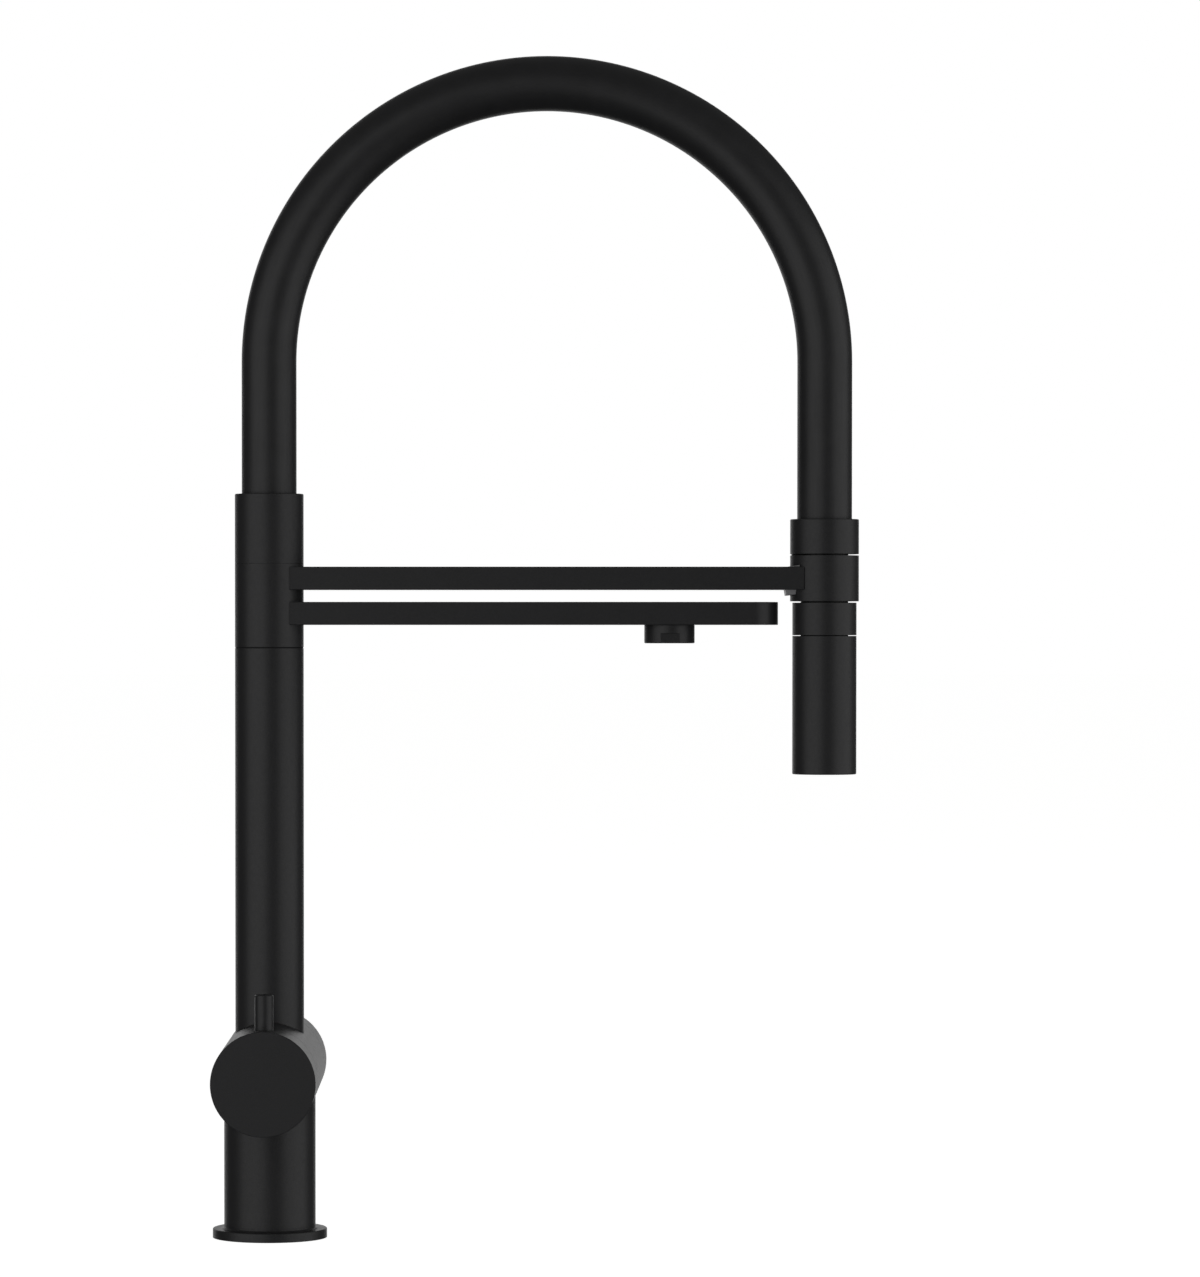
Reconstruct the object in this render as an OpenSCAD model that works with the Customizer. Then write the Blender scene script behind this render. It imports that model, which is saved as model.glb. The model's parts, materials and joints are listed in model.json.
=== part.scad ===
// Three-way kitchen faucet: a mixer for hot and cold water, a tap for filtered water, and a docked hose wand.
// Millimetres. The origin is the middle of the flange's underside, on the worktop. +Z is up.
// +X runs along the spout, towards the sink. -Y is the filtered-water side, +Y the mixer side.

/* [Deck base] */
// Diameter of the flange that stands on the worktop
flange_d = 50; // [48:0.5:60]
// Height of the flange
flange_h = 4; // [3.5:0.5:8]
// Bevel on the flange's upper edge
flange_bevel = 0.3; // [0.2:0.1:1.2]
// Diameter of the upright body
body_d = 40; // [39:0.5:44]
// Radius of the fillet at the foot of the body
foot_fillet = 1; // [0.5:0.1:2]
// Diameter of the brass inlet block, which also centres the flange
inlet_block_d = 34; // [33:0.5:36]
// Metal of the inlet block above its threads
inlet_roof = 2; // [1.5:0.5:5]
// Mean diameter of the seal under the flange
deck_seal_d = 41; // [40:0.5:44]
// Width of the deck seal
deck_seal_w = 3; // [2:0.2:4]
// Thickness of the deck seal
deck_seal_h = 1.8; // [1:0.1:2.4]
// Core diameter of the M8 hole for the fixing stud
stud_core_d = 6.8; // [6:0.1:7]
// Depth of the stud's thread
stud_depth = 12; // [8:1:18]
// Core diameter of the three M10x1 hose ports
port_core_d = 9; // [8:0.1:9.2]
// Depth of each port's thread
port_depth = 12; // [8:1:18]
// Distance of each port from the middle of the base
port_offset = 10.3; // [9.6:0.1:10.6]
// Angle of the hot and cold ports from the X axis, in degrees
supply_angle = 35; // [32:1:40]
// Diameter of the drilled waterways
waterway_d = 6; // [4:0.5:6.5]
// How much narrower a cross drilling is than the way it meets
cross_step = 1; // [0.5:0.1:1.5]

/* [Cross barrel] */
// Diameter of the barrel and of both knobs
barrel_d = 45; // [44:0.5:50]
// Height of the barrel's centre line above the worktop
barrel_z = 72.4; // [60:0.2:110]
// Length of the barrel between the two knobs
barrel_len = 83.3; // [80:0.1:100]
// Depth of the rebate that holds each slide ring
slide_ring_seat = 1; // [0.6:0.1:2]
// Width of each slide ring
slide_ring_w = 1.4; // [1:0.1:1.8]

/* [Knobs] */
// Length of each knob along the barrel
knob_len = 26; // [25:0.5:28]
// Seam between a knob and the barrel
knob_seam = 0.35; // [0.3:0.05:1]
// Wall round a knob's cavity
knob_wall = 3.5; // [3:0.1:4]
// Thickness of a knob's outer end
knob_end = 5; // [4:0.5:7]
// Diameter of the boss that holds the stem
knob_boss_d = 16; // [14:0.5:18]
// Gap between the boss and what it faces inside
knob_boss_gap = 4.5; // [4:0.5:6]
// Distance of a stem's shoulder from the boss
stem_shoulder_gap = 2.5; // [1:0.5:3]
// Bevel round a knob's face
knob_bevel = 0.2; // [0.2:0.1:1]
// Diameter of the lever pin
lever_d = 8; // [6:0.5:10]
// How far the lever pin stands out of the knob
lever_reach = 15; // [10:1:60]
// Width of the solid pad that the lever pin is screwed into
lever_pad = 12; // [11:0.5:14]
// Distance of the lever pin from the knob's outer face
lever_inset = 13; // [11:0.5:14]
// Diameter of the lever pin's threaded shank
lever_shank_d = 5; // [4:0.5:6]
// Depth of the lever pin's seat in the knob
lever_seat = 1.5; // [1:0.1:2]
// Bevel on the lever pin's tip
lever_bevel = 0.4; // [0.2:0.1:1]
// Diameter of the grub screw
grub_d = 5; // [4:0.5:6]
// Length of the grub screw
grub_len = 5; // [4:0.5:6]
// Hexagon key of the grub screw, across flats
grub_key = 2.5; // [2:0.1:3]

/* [Mixer cartridge] */
// Diameter of the cartridge
cartridge_d = 35; // [34:0.5:36]
// Distance of the cartridge's seat from the middle of the body
cartridge_seat = 14; // [13.5:0.5:15]
// Diameter of the cartridge's neck
cartridge_neck_d = 22; // [20:0.5:24]
// Length of the cartridge's neck
cartridge_neck_len = 7; // [6:0.5:8]
// Thickness of the cartridge's floor
cartridge_floor = 4; // [3:0.5:5]
// Thickness of the cartridge's end wall
cartridge_roof = 3; // [2.5:0.5:4]
// Wall of the cartridge's housing
cartridge_wall = 3; // [2:0.5:4]
// Thickness of each of the mixer's ceramic discs
mixer_disc_t = 3.4; // [3:0.1:4]
// Diameter of each water passage in the cartridge
cartridge_port_d = 6; // [5:0.5:7]
// Height of the mixed-water passage above the barrel's centre line
mixed_port_rise = 8; // [7:0.5:9]
// Drop of the hot and cold passages below the barrel's centre line
supply_port_drop = 4; // [3:0.5:5]
// Width of the rubber ring round each passage
port_seal_w = 1.4; // [1:0.1:1.6]
// Thickness of that rubber ring
port_seal_t = 1.4; // [1:0.1:2]
// Length of the retaining nut's seat in the barrel
nut_len = 6.65; // [5:0.05:7]
// Width of the nut's four key slots
nut_slot_w = 5; // [3:0.5:6]
// Depth of the key slots
nut_slot_depth = 2; // [1:0.5:3]
// Diameter of the foot that turns the mixer's disc
stem_foot_d = 24; // [20:0.5:26]
// Diameter of the mixer's stem
stem_d = 10; // [9:0.5:11]
// Width across the flats of the mixer stem's square drive
stem_square = 8; // [7:0.1:8.5]

/* [Filter valve] */
// Diameter of the valve's threaded shank
headwork_d = 19; // [17:0.5:20]
// Distance of the valve's seat from the middle of the body
headwork_seat = 16; // [15.5:0.5:17]
// Distance of the valve's hexagon from the barrel's end
headwork_inset = 8.15; // [7:0.05:9]
// Wall of the threaded shank
headwork_wall = 2; // [1.5:0.1:2.5]
// Distance of the outlet window from the valve's seat
valve_window = 9; // [9:0.1:10]
// Hexagon of the valve, across flats
headwork_hex = 24; // [22:0.5:25]
// Thickness of the hexagon
headwork_hex_t = 5; // [4:0.5:6]
// Diameter of the valve's neck
headwork_neck_d = 14; // [12:0.5:16]
// Length of the valve's neck
headwork_neck_len = 5; // [4:0.5:6]
// Thickness of each of the filter valve's ceramic discs
filter_disc_t = 2.5; // [2:0.1:3]
// Thickness of the rubber seat at the valve's inner end
valve_seal_t = 1.5; // [1:0.1:2]
// Width of the bar that turns the filter valve's disc
valve_bar_w = 5; // [4:0.5:6]
// Wall outside and between the passages of the filter valve's discs
disc_wall = 1.5; // [1:0.1:2]
// Diameter of the filter valve's stem
filter_stem_d = 8; // [7:0.5:9]
// Width across the flats of the filter stem's square drive
filter_square = 6.4; // [5.5:0.1:7]

/* [Riser column] */
// Diameter of the column, the arm sleeve and the dock ring
column_d = 30; // [29:0.5:36]
// Wall of the column
column_wall = 2.5; // [2.2:0.1:3]
// Height of the column's upper end above the worktop
column_top = 257.8; // [200:0.2:320]
// Length of the threaded spigot under the column
column_spigot = 12; // [8:1:20]
// Outer diameter of the mixed-water tube
mixed_tube_d = 9; // [8:0.5:9.5]
// Offset of the mixed-water tube from the column's axis
mixed_tube_y = 3.8; // [3.6:0.1:4]
// Outer diameter of the filtered-water tube
filter_tube_d = 6; // [5:0.5:6.5]
// Offset of the filtered-water tube from the column's axis
filter_tube_y = 5.6; // [5.2:0.1:5.8]
// Wall of both tubes
tube_wall = 0.75; // [0.5:0.05:1]
// Depth to which each tube enters its sockets
tube_plug = 6; // [4:0.5:8]

/* [Swivel joint] */
// Seam between the column and the arm sleeve
swivel_seam = 0.4; // [0.4:0.1:1.2]
// Step from the column's bore in to the swivel spindle
spindle_step = 2; // [1.5:0.1:2.5]
// Length of the spindle's plug inside the column
spindle_plug = 18; // [14:1:30]
// Thickness of the slip washer in the seam
slip_washer_t = 0.3; // [0.3:0.05:1]
// Inset of the slip washer from the column's surface
slip_washer_inset = 0.3; // [0.3:0.1:1.2]
// Cord thickness of the round seals
seal_cord = 1.8; // [1.5:0.1:2]
// Width of the plastic guide rings
guide_w = 2; // [1.5:0.1:2.5]
// Thickness of the plastic guide rings
guide_t = 1; // [0.8:0.1:1.2]
// Height of the lower guide ring above the sleeve's foot
guide_inset = 3; // [2.5:0.1:4]
// Distance of a seal from the middle of the filtered-water groove
seal_spread = 4.6; // [4:0.1:5]
// Distance of the uppermost seal from the end of the sleeve's bore
seal_inset = 2; // [1.8:0.1:2.4]
// Width of the groove that leads filtered water round the spindle
water_groove_w = 3; // [2:0.5:4]
// Depth of the chamber above the sleeve's bore
chamber_h = 8.6; // [8:0.2:10]
// Wall round that chamber
chamber_wall = 2.8; // [2.5:0.1:3]
// Thickness of the retaining clips
clip_t = 1.2; // [1:0.1:1.5]
// Depth of the grooves that hold the clips
clip_depth = 1.2; // [0.8:0.1:1.5]
// Length of metal beyond a clip's groove
clip_land = 1.2; // [1:0.1:1.6]

/* [Arms] */
// Distance from the column's axis to the wand's axis
reach = 242.5; // [200:0.5:300]
// Width of both arms
arm_w = 24; // [20:0.5:26]
// Height of both arms
arm_h = 10; // [9:0.5:12]
// Gap between the two arms
arm_gap = 5.3; // [4:0.1:10]
// Height of the sleeve below the lower arm
sleeve_foot = 9.7; // [8.5:0.1:16]
// Height of the sleeve above the upper arm
sleeve_rim = 1.4; // [1:0.1:4]
// Bevel along the arms' edges
arm_bevel = 0.2; // [0.2:0.1:1]
// Width of the tenon that each arm sets into the sleeve
tenon_w = 14; // [10:0.5:15]
// Height of that tenon
tenon_h = 8; // [7:0.5:8.5]
// How far the tenon enters the sleeve
tenon_depth = 2.6; // [2:0.1:3]
// Gap between the filter spout's tip and the wand
spout_gap = 6.3; // [3:0.1:40]

/* [Aerator] */
// Distance of the aerator from the filter spout's tip
aerator_inset = 47.4; // [20:0.2:80]
// Thickness of the spout's roof over the aerator
spout_roof = 1.4; // [1:0.1:1.6]
// Diameter of the aerator
aerator_d = 22; // [20:0.5:23]
// How far the aerator stands below the spout
aerator_h = 8; // [6:0.5:12]
// Diameter of the aerator's thread
aerator_thread_d = 16; // [15:0.5:17]
// Length of the aerator's thread
aerator_thread_len = 5.5; // [4:0.5:6]
// Thickness of the seal under the spout
aerator_seal_t = 0.9; // [0.6:0.1:1.2]
// Wall outside that seal
aerator_rim = 0.4; // [0.3:0.1:0.8]
// Bore of the aerator
aerator_bore = 13; // [12:0.5:13.5]
// Width of the lip that holds the aerator's insert
aerator_lip = 0.8; // [0.5:0.1:1.2]
// Thickness of that lip
aerator_lip_t = 1.4; // [1:0.1:2]
// Depth of the two spanner flats
aerator_flat = 0.8; // [0.3:0.1:0.8]
// Width of the two spanner flats
aerator_flat_w = 9; // [6:0.5:11]
// Height of the two spanner flats
aerator_flat_h = 4.4; // [3:0.2:6]
// Hexagonal cells of the aerator, across flats
aerator_cell = 1.3; // [1:0.1:1.5]
// Distance from cell to cell
aerator_pitch = 1.8; // [1.7:0.1:2]

/* [Dock] */
// Thickness of the dock magnet along the arm
magnet_t = 8; // [5:0.5:9]
// Width of the magnet
magnet_w = 22; // [18:0.5:22]
// Height of the magnet
magnet_h = 12.4; // [12:0.2:16]
// Lean of the magnet's top away from the wand, in degrees
magnet_lean = 8; // [0:0.5:12]
// How far the magnet's centre lies below the arm's centre
magnet_drop = 1; // [0:0.1:1.5]
// How far the magnet's centre lies inside the dock ring's surface
magnet_inset = 0.6; // [0:0.1:2]
// Air gap between the docked ring and the arm
dock_gap = 0.3; // [0.3:0.05:0.5]

/* [Hose] */
// Diameter of the hose's silicone jacket
hose_d = 24; // [23:0.5:25]
// Wall of the jacket
hose_wall = 2; // [1.5:0.1:2.5]
// Height of the hose socket on the arm sleeve
socket_h = 30.4; // [28:0.2:40]
// Thickness of the web between the hose and the sleeve
socket_web = 8; // [7:0.5:10]
// Length of the socket's threaded spigot
socket_spigot = 5.6; // [5:0.1:5.8]
// Diameter of the well under the web
socket_well_d = 18; // [17:0.5:19]
// Seam between the arm sleeve and the hose socket
socket_seam = 0.05; // [0.05:0.05:0.5]
// Depth to which the hose enters its socket and its collar
hose_plug = 12; // [8:0.5:14]
// Straight length of the hose above its socket
hose_leg = 57.4; // [30:0.2:120]
// Outer diameter of the flexible gooseneck inside the jacket
gooseneck_d = 19.6; // [18:0.2:19.8]
// Bore of the gooseneck
gooseneck_bore = 14.6; // [14.2:0.2:15]
// Outer diameter of the inner water hose
inner_hose_d = 14; // [12:0.5:14]
// Bore of the inner water hose
inner_hose_bore = 9; // [8:0.5:10]
// Diameter of the fittings' threads
fitting_thread_d = 12; // [11:0.5:13]
// Diameter of the fittings' flanges
fitting_flange_d = 17; // [16:0.5:18]
// Thickness of the fittings' flanges
fitting_flange_t = 3; // [2:0.5:4]
// Length of the fittings' barbed tails
fitting_tail = 16; // [10:1:20]
// Distance from barb to barb on the tails
barb_pitch = 4; // [3:0.5:5]
// Height of a barb
barb_h = 0.3; // [0.2:0.05:0.4]
// Bore of the fittings
fitting_bore = 6; // [5:0.5:6.5]

/* [Wand] */
// Height of the dock ring on the wand
ring_h = 20; // [18:0.5:30]
// Height of the hose collar
collar_h = 15.2; // [14.5:0.1:20]
// Groove between the collar and the dock ring
collar_groove = 0.6; // [0.4:0.1:1.5]
// Groove between the dock ring and the selector
selector_groove = 0.6; // [0.3:0.1:1.5]
// Groove between the selector and the spray head
head_groove = 0.3; // [0.3:0.1:1.5]
// Diameter of the neck that shows in the grooves
neck_d = 20.8; // [20:0.2:22]
// Depth of the neck's threaded socket
neck_socket = 9; // [7:0.5:12]
// Bore of the neck
neck_bore = 8; // [6:0.5:9]
// Diameter of the neck below the dock ring
lower_neck_d = 18; // [17:0.5:18.5]
// Width of the key that locks the ring to the collar
key_w = 6; // [4:0.5:8]
// Inset of the key from the ring's surface
key_inset = 0.5; // [0.3:0.1:1]
// Diameter of the selector and the spray head
head_d = 28; // [27:0.5:30]
// Height of the selector ring
selector_h = 14.2; // [10:0.1:20]
// Length of the spray head
head_len = 60.4; // [50:0.1:90]
// Length of the journal on which the head turns
journal_len = 10.6; // [8:0.2:14]
// Wall of the spray head
head_wall = 3; // [2:0.5:3.5]
// Step in the head's mouth that seats the spray face
mouth_step = 1; // [0.8:0.1:1.5]
// Thickness of the spray face
face_t = 4; // [3:0.5:5]
// How far the spray face lies inside the head's mouth
face_recess = 1; // [0.4:0.1:1.5]
// Number of nozzles in the outer ring
outer_nozzles = 12; // [8:1:14]
// Number of nozzles in the inner ring
inner_nozzles = 6; // [4:1:7]
// Radius of the outer ring of nozzles
outer_nozzle_r = 9.3; // [9:0.1:9.6]
// Radius of the inner ring of nozzles
inner_nozzle_r = 6; // [5.8:0.1:6.4]
// Diameter of a nozzle's tip
nozzle_tip_d = 1.4; // [1.2:0.1:1.6]
// Bore of a nozzle
jet_d = 0.8; // [0.5:0.1:1]
// Diameter of a nozzle
nozzle_d = 2; // [1.6:0.1:2.2]
// How far a nozzle stands out of the face
nozzle_out = 0.7; // [0.5:0.1:1.5]
// Diameter of the stream outlet in the middle of the face
stream_d = 7; // [6.5:0.5:8]
// Diameter of each of its seven holes
stream_hole_d = 1.2; // [1:0.1:1.5]
// Distance of the outer six holes from the middle
stream_hole_r = 1.9; // [1.8:0.1:2.2]
// Distance of the neck's seal from the selector
neck_seal_drop = 4; // [3:0.5:6]
// Length of the diverter
diverter_h = 26; // [16:1:30]
// Thickness of the diverter's two flanges
diverter_flange = 3; // [2:0.5:5]
// Wall of the diverter's tube
diverter_wall = 2; // [1:0.5:2.5]
// Diameter of the diverter's six side ways
diverter_way_d = 2.4; // [2:0.1:2.6]
// Distance of the side ways from the middle
diverter_way_r = 8.5; // [8:0.1:9]
// Bevel on the open edges of the turned outer parts
edge_bevel = 0.3; // [0.1:0.1:0.8]
// Bevel on the edges beside seams and grooves
seam_bevel = 0.1; // [0.1:0.05:0.3]

/* [Fits] */
// Clearance on the radius of parts that are screwed or pressed together
fit_gap = 0.05; // [0.02:0.01:0.1]
// Clearance on the radius of parts that turn in each other
run_gap = 0.08; // [0.03:0.01:0.1]
// Play round a retaining clip
clip_gap = 0.3; // [0.3:0.05:0.5]
// Room left past the end of a thread
thread_relief = 1; // [0.5:0.1:1.5]

/* [Hidden] */
$fn = 72;
mixer_side = 1;
filter_side = -1;
eps = 1;

port_angles = [270, supply_angle, 180 - supply_angle];
supply_x = port_offset * cos(supply_angle);
supply_y = port_offset * sin(supply_angle);
inlet_block_h = max(stud_depth, port_depth) + inlet_roof;
foot_d = body_d + 2 * foot_fillet;
cross_d = waterway_d - cross_step;

barrel_end = barrel_len / 2;
knob_root = barrel_end + knob_seam;
knob_face = knob_root + knob_len;
knob_cavity_d = barrel_d - 2 * knob_wall;
knob_floor = knob_face - knob_end;
lever_z = knob_face - lever_inset;
lever_top = barrel_d / 2 + lever_reach;
slide_ring_d = knob_cavity_d + 2 * slide_ring_w;
slide_ring_t = slide_ring_seat + knob_seam - fit_gap;

nut_d = knob_cavity_d;
cartridge_end = barrel_end - slide_ring_seat - nut_len;
cartridge_inside = cartridge_end - cartridge_roof;
mixer_boss = cartridge_end + cartridge_neck_len + knob_boss_gap;
mixer_disc_d = cartridge_d - 2 * cartridge_wall - 2 * run_gap;
mixer_disc_z = cartridge_seat + cartridge_floor + fit_gap;
mixer_turning_z = mixer_disc_z + mixer_disc_t + fit_gap;
mixer_stem_z = mixer_turning_z + mixer_disc_t + fit_gap;

headwork_end = barrel_end - headwork_inset;
hex_end = headwork_end + headwork_hex_t;
filter_boss = hex_end + headwork_neck_len + knob_boss_gap;
headwork_cavity_d = headwork_d - 2 * headwork_wall;
filter_disc_z = headwork_seat + valve_seal_t + 2 * fit_gap;
filter_turning_z = filter_disc_z + filter_disc_t + fit_gap;
filter_stem_z = filter_turning_z + filter_disc_t + fit_gap;
valve_window_z = headwork_seat + valve_window;

column_bore = column_d - 2 * column_wall;
column_foot = barrel_z + barrel_d / 2;
spigot_top = column_foot + column_spigot;
mixed_tube_bore = mixed_tube_d - 2 * tube_wall;
filter_tube_bore = filter_tube_d - 2 * tube_wall;
filter_cross_d = filter_tube_bore - cross_step;
headwork_inside = valve_window_z + filter_tube_bore / 2;
tube_low = spigot_top - tube_plug;
tube_high = column_top - spindle_plug + tube_plug;

sleeve_low = column_top + swivel_seam;
filter_arm_z = sleeve_low + sleeve_foot;
filter_mid = filter_arm_z + arm_h / 2;
dock_arm_z = filter_arm_z + arm_h + arm_gap;
dock_mid = dock_arm_z + arm_h / 2;
sleeve_top = dock_arm_z + arm_h + sleeve_rim;
spindle_d = column_bore - 2 * spindle_step;
sleeve_bore = spindle_d + 2 * run_gap;
chamber_d = column_d - 2 * chamber_wall;
tenon_root = column_d / 2 - tenon_depth;
chamber_floor = sleeve_top - chamber_h;
clip_z = chamber_floor + clip_gap;
spindle_top = clip_z + clip_t + clip_land;
spindle_clip_bore = spindle_d - 2 * clip_depth;
seal_depth = seal_cord - run_gap / 2;
top_seal_z = chamber_floor - seal_inset;
seal_levels = [filter_mid - seal_spread, filter_mid + seal_spread, top_seal_z];
guide_levels = [sleeve_low + guide_inset, (filter_mid + seal_spread + top_seal_z) / 2];

filter_spout_reach = reach - head_d / 2 - spout_gap;
aerator_x = filter_spout_reach - aerator_inset;

socket_low = sleeve_top + socket_seam;
socket_top = socket_low + socket_h;
socket_floor = socket_top - hose_plug;
arch_z = socket_top + hose_leg;
arch_r = reach / 2;
jacket_bore = hose_d - 2 * hose_wall;
hose_seat_d = hose_d + 2 * fit_gap;

ring_low = dock_mid - ring_h / 2;
ring_top = ring_low + ring_h;
collar_low = ring_top + collar_groove;
collar_top = collar_low + collar_h;
collar_floor = collar_top - hose_plug;
selector_top = ring_low - selector_groove;
selector_low = selector_top - selector_h;
head_top = selector_low - head_groove;
head_low = head_top - head_len;
journal_low = head_top - journal_len;
neck_seal_z = selector_low - neck_seal_drop;
neck_clip_z = journal_low - clip_gap - clip_t;
neck_clip_bore = lower_neck_d - 2 * clip_depth;
neck_low = neck_clip_z - clip_land;
face_low = head_low + face_recess;
face_top = face_low + face_t;
head_bore = head_d - 2 * head_wall;
mouth_d = head_bore + 2 * mouth_step;

black_coat = "#252527";
black_silicone = "#1b1b1c";
brass = "#b08d4a";
steel = "#b9bcc0";
rubber_black = "#161616";
plastic_grey = "#6f7478";
ceramic_white = "#e8e6df";
nickel = "#a7a9ac";

// A turned ring between two heights, with its outer edges eased where asked
module ring(d, bore, low, high, ease_low = 0, ease_high = 0) {
    lower = ease_low > 0 ? [[d / 2 - ease_low, low], [d / 2, low + ease_low]] : [[d / 2, low]];
    upper = ease_high > 0 ? [[d / 2, high - ease_high], [d / 2 - ease_high, high]] : [[d / 2, high]];
    rotate_extrude()
        polygon(concat([[bore / 2, low]], lower, upper, [[bore / 2, high]]));
}

// A drilled or turned hole between two heights
module hole(d, low, high) {
    translate([0, 0, low])
        cylinder(d = d, h = high - low);
}

// A round rubber seal of the given cord whose outer edge has diameter d
module round_seal(d, cord, z) {
    translate([0, 0, z])
        rotate_extrude()
            translate([d / 2 - cord / 2, 0])
                circle(d = cord);
}

// A flat open retaining clip
module clip(d, bore, low) {
    difference() {
        ring(d, bore, low, low + clip_t);
        translate([0, -bore / 6, low - eps])
            cube([d, bore / 3, clip_t + 2 * eps]);
    }
}

// Places its children on the barrel: local z runs outwards, local y points up
module on_barrel(side) {
    translate([0, 0, barrel_z])
        rotate([90, 0, side > 0 ? 180 : 0])
            children();
}

// Places its children on the wand's axis
module on_wand() {
    translate([reach, 0, 0])
        children();
}

// Places its children at each hole of the cartridge's floor: hot, cold and mixed water
module at_cartridge_ports() {
    for (x = [-supply_x, supply_x])
        translate([x, -supply_port_drop, 0])
            children();
    translate([0, mixed_port_rise, 0])
        children();
}

module deck_seal() {
    color(rubber_black)
        ring(deck_seal_d + deck_seal_w, deck_seal_d - deck_seal_w, 0, deck_seal_h);
}

module base_flange() {
    color(black_coat)
        difference() {
            ring(flange_d, inlet_block_d + 2 * fit_gap, 0, flange_h, 0, flange_bevel);
            ring(deck_seal_d + deck_seal_w + 2 * fit_gap, deck_seal_d - deck_seal_w - 2 * fit_gap,
                -eps, deck_seal_h + fit_gap);
        }
}

// The brass block that closes the body's foot and takes the hoses and the fixing stud
module inlet_block() {
    color(brass)
        difference() {
            hole(inlet_block_d, 0, inlet_block_h);
            hole(stud_core_d, -eps, stud_depth);
            for (a = port_angles)
                rotate([0, 0, a])
                    translate([port_offset, 0, 0]) {
                        hole(port_core_d, -eps, port_depth);
                        hole(waterway_d, port_depth - eps, inlet_block_h + eps);
                    }
        }
}

// The waterways drilled through the lower body and the barrel
module body_waterways() {
    for (a = port_angles)
        rotate([0, 0, a])
            translate([port_offset, 0, 0])
                hole(waterway_d, inlet_block_h - eps,
                    barrel_z + waterway_d / 2 - (a == port_angles[0] ? 0 : supply_port_drop));
    on_barrel(mixer_side) {
        for (x = [-supply_x, supply_x])
            translate([x, -supply_port_drop, 0])
                hole(cross_d, supply_y, cartridge_seat + eps);
        translate([0, mixed_port_rise, 0])
            hole(cross_d, mixed_tube_y, cartridge_seat + eps);
    }
    on_barrel(filter_side)
        hole(cross_d, port_offset, headwork_seat + eps);
    translate([0, mixed_tube_y, 0]) {
        hole(mixed_tube_bore, barrel_z + mixed_port_rise - waterway_d / 2, spigot_top + eps);
        hole(mixed_tube_d + 2 * fit_gap, tube_low, spigot_top + eps);
    }
    translate([0, -filter_tube_y, 0]) {
        hole(filter_tube_bore, column_foot - filter_tube_bore, spigot_top + eps);
        hole(filter_tube_d + 2 * fit_gap, tube_low, spigot_top + eps);
    }
    filter_crossway();
}

// The slanting waterway from the filter valve up to the filtered-water tube
module filter_crossway() {
    run = valve_window_z - filter_tube_y;
    start_z = barrel_z + (headwork_d - filter_cross_d) / 2;
    rise = column_foot - start_z;
    translate([0, -valve_window_z, start_z])
        rotate([-atan2(run, rise), 0, 0])
            cylinder(d = filter_cross_d, h = norm([run, rise]));
}

// The upright body between the flange and the barrel, brazed to the barrel
module lower_body() {
    color(black_coat)
        difference() {
            rotate_extrude()
                difference() {
                    polygon([
                        [0, flange_h], [foot_d / 2, flange_h], [body_d / 2, flange_h + foot_fillet],
                        [body_d / 2, barrel_z], [0, barrel_z]
                    ]);
                    translate([foot_d / 2, flange_h + foot_fillet])
                        circle(r = foot_fillet);
                }
            hole(inlet_block_d + 2 * fit_gap, flange_h - eps, inlet_block_h);
            body_waterways();
            on_barrel(mixer_side)
                hole(barrel_d + 2 * fit_gap, -barrel_end, barrel_end);
        }
}

// The cross barrel that holds both valves, with the spigot that the column sits on
module valve_body() {
    color(black_coat)
        difference() {
            union() {
                hole(column_bore - 2 * fit_gap, barrel_z, spigot_top);
                on_barrel(mixer_side)
                    hole(barrel_d, -barrel_end, barrel_end);
            }
            body_waterways();
            on_barrel(mixer_side) {
                hole(cartridge_d + 2 * fit_gap, cartridge_seat, barrel_end + eps);
                hole(nut_d, cartridge_end, barrel_end + eps);
                hole(slide_ring_d + 2 * fit_gap, barrel_end - slide_ring_seat, barrel_end + eps);
            }
            on_barrel(filter_side) {
                hole(headwork_d + 2 * fit_gap, headwork_seat, barrel_end + eps);
                hole(knob_cavity_d - 2 * slide_ring_w, headwork_end, barrel_end + eps);
                hole(slide_ring_d + 2 * fit_gap, barrel_end - slide_ring_seat, barrel_end + eps);
            }
        }
}

module riser_column() {
    color(black_coat)
        difference() {
            ring(column_d, column_bore, barrel_z, column_top, 0, seam_bevel);
            on_barrel(mixer_side)
                hole(barrel_d + 2 * fit_gap, -barrel_end, barrel_end);
        }
}

module mixed_water_tube() {
    color(steel)
        translate([0, mixed_tube_y, 0])
            ring(mixed_tube_d, mixed_tube_bore, tube_low, tube_high);
}

module filtered_water_tube() {
    color(steel)
        translate([0, -filter_tube_y, 0])
            ring(filter_tube_d, filter_tube_bore, tube_low, tube_high);
}

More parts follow.
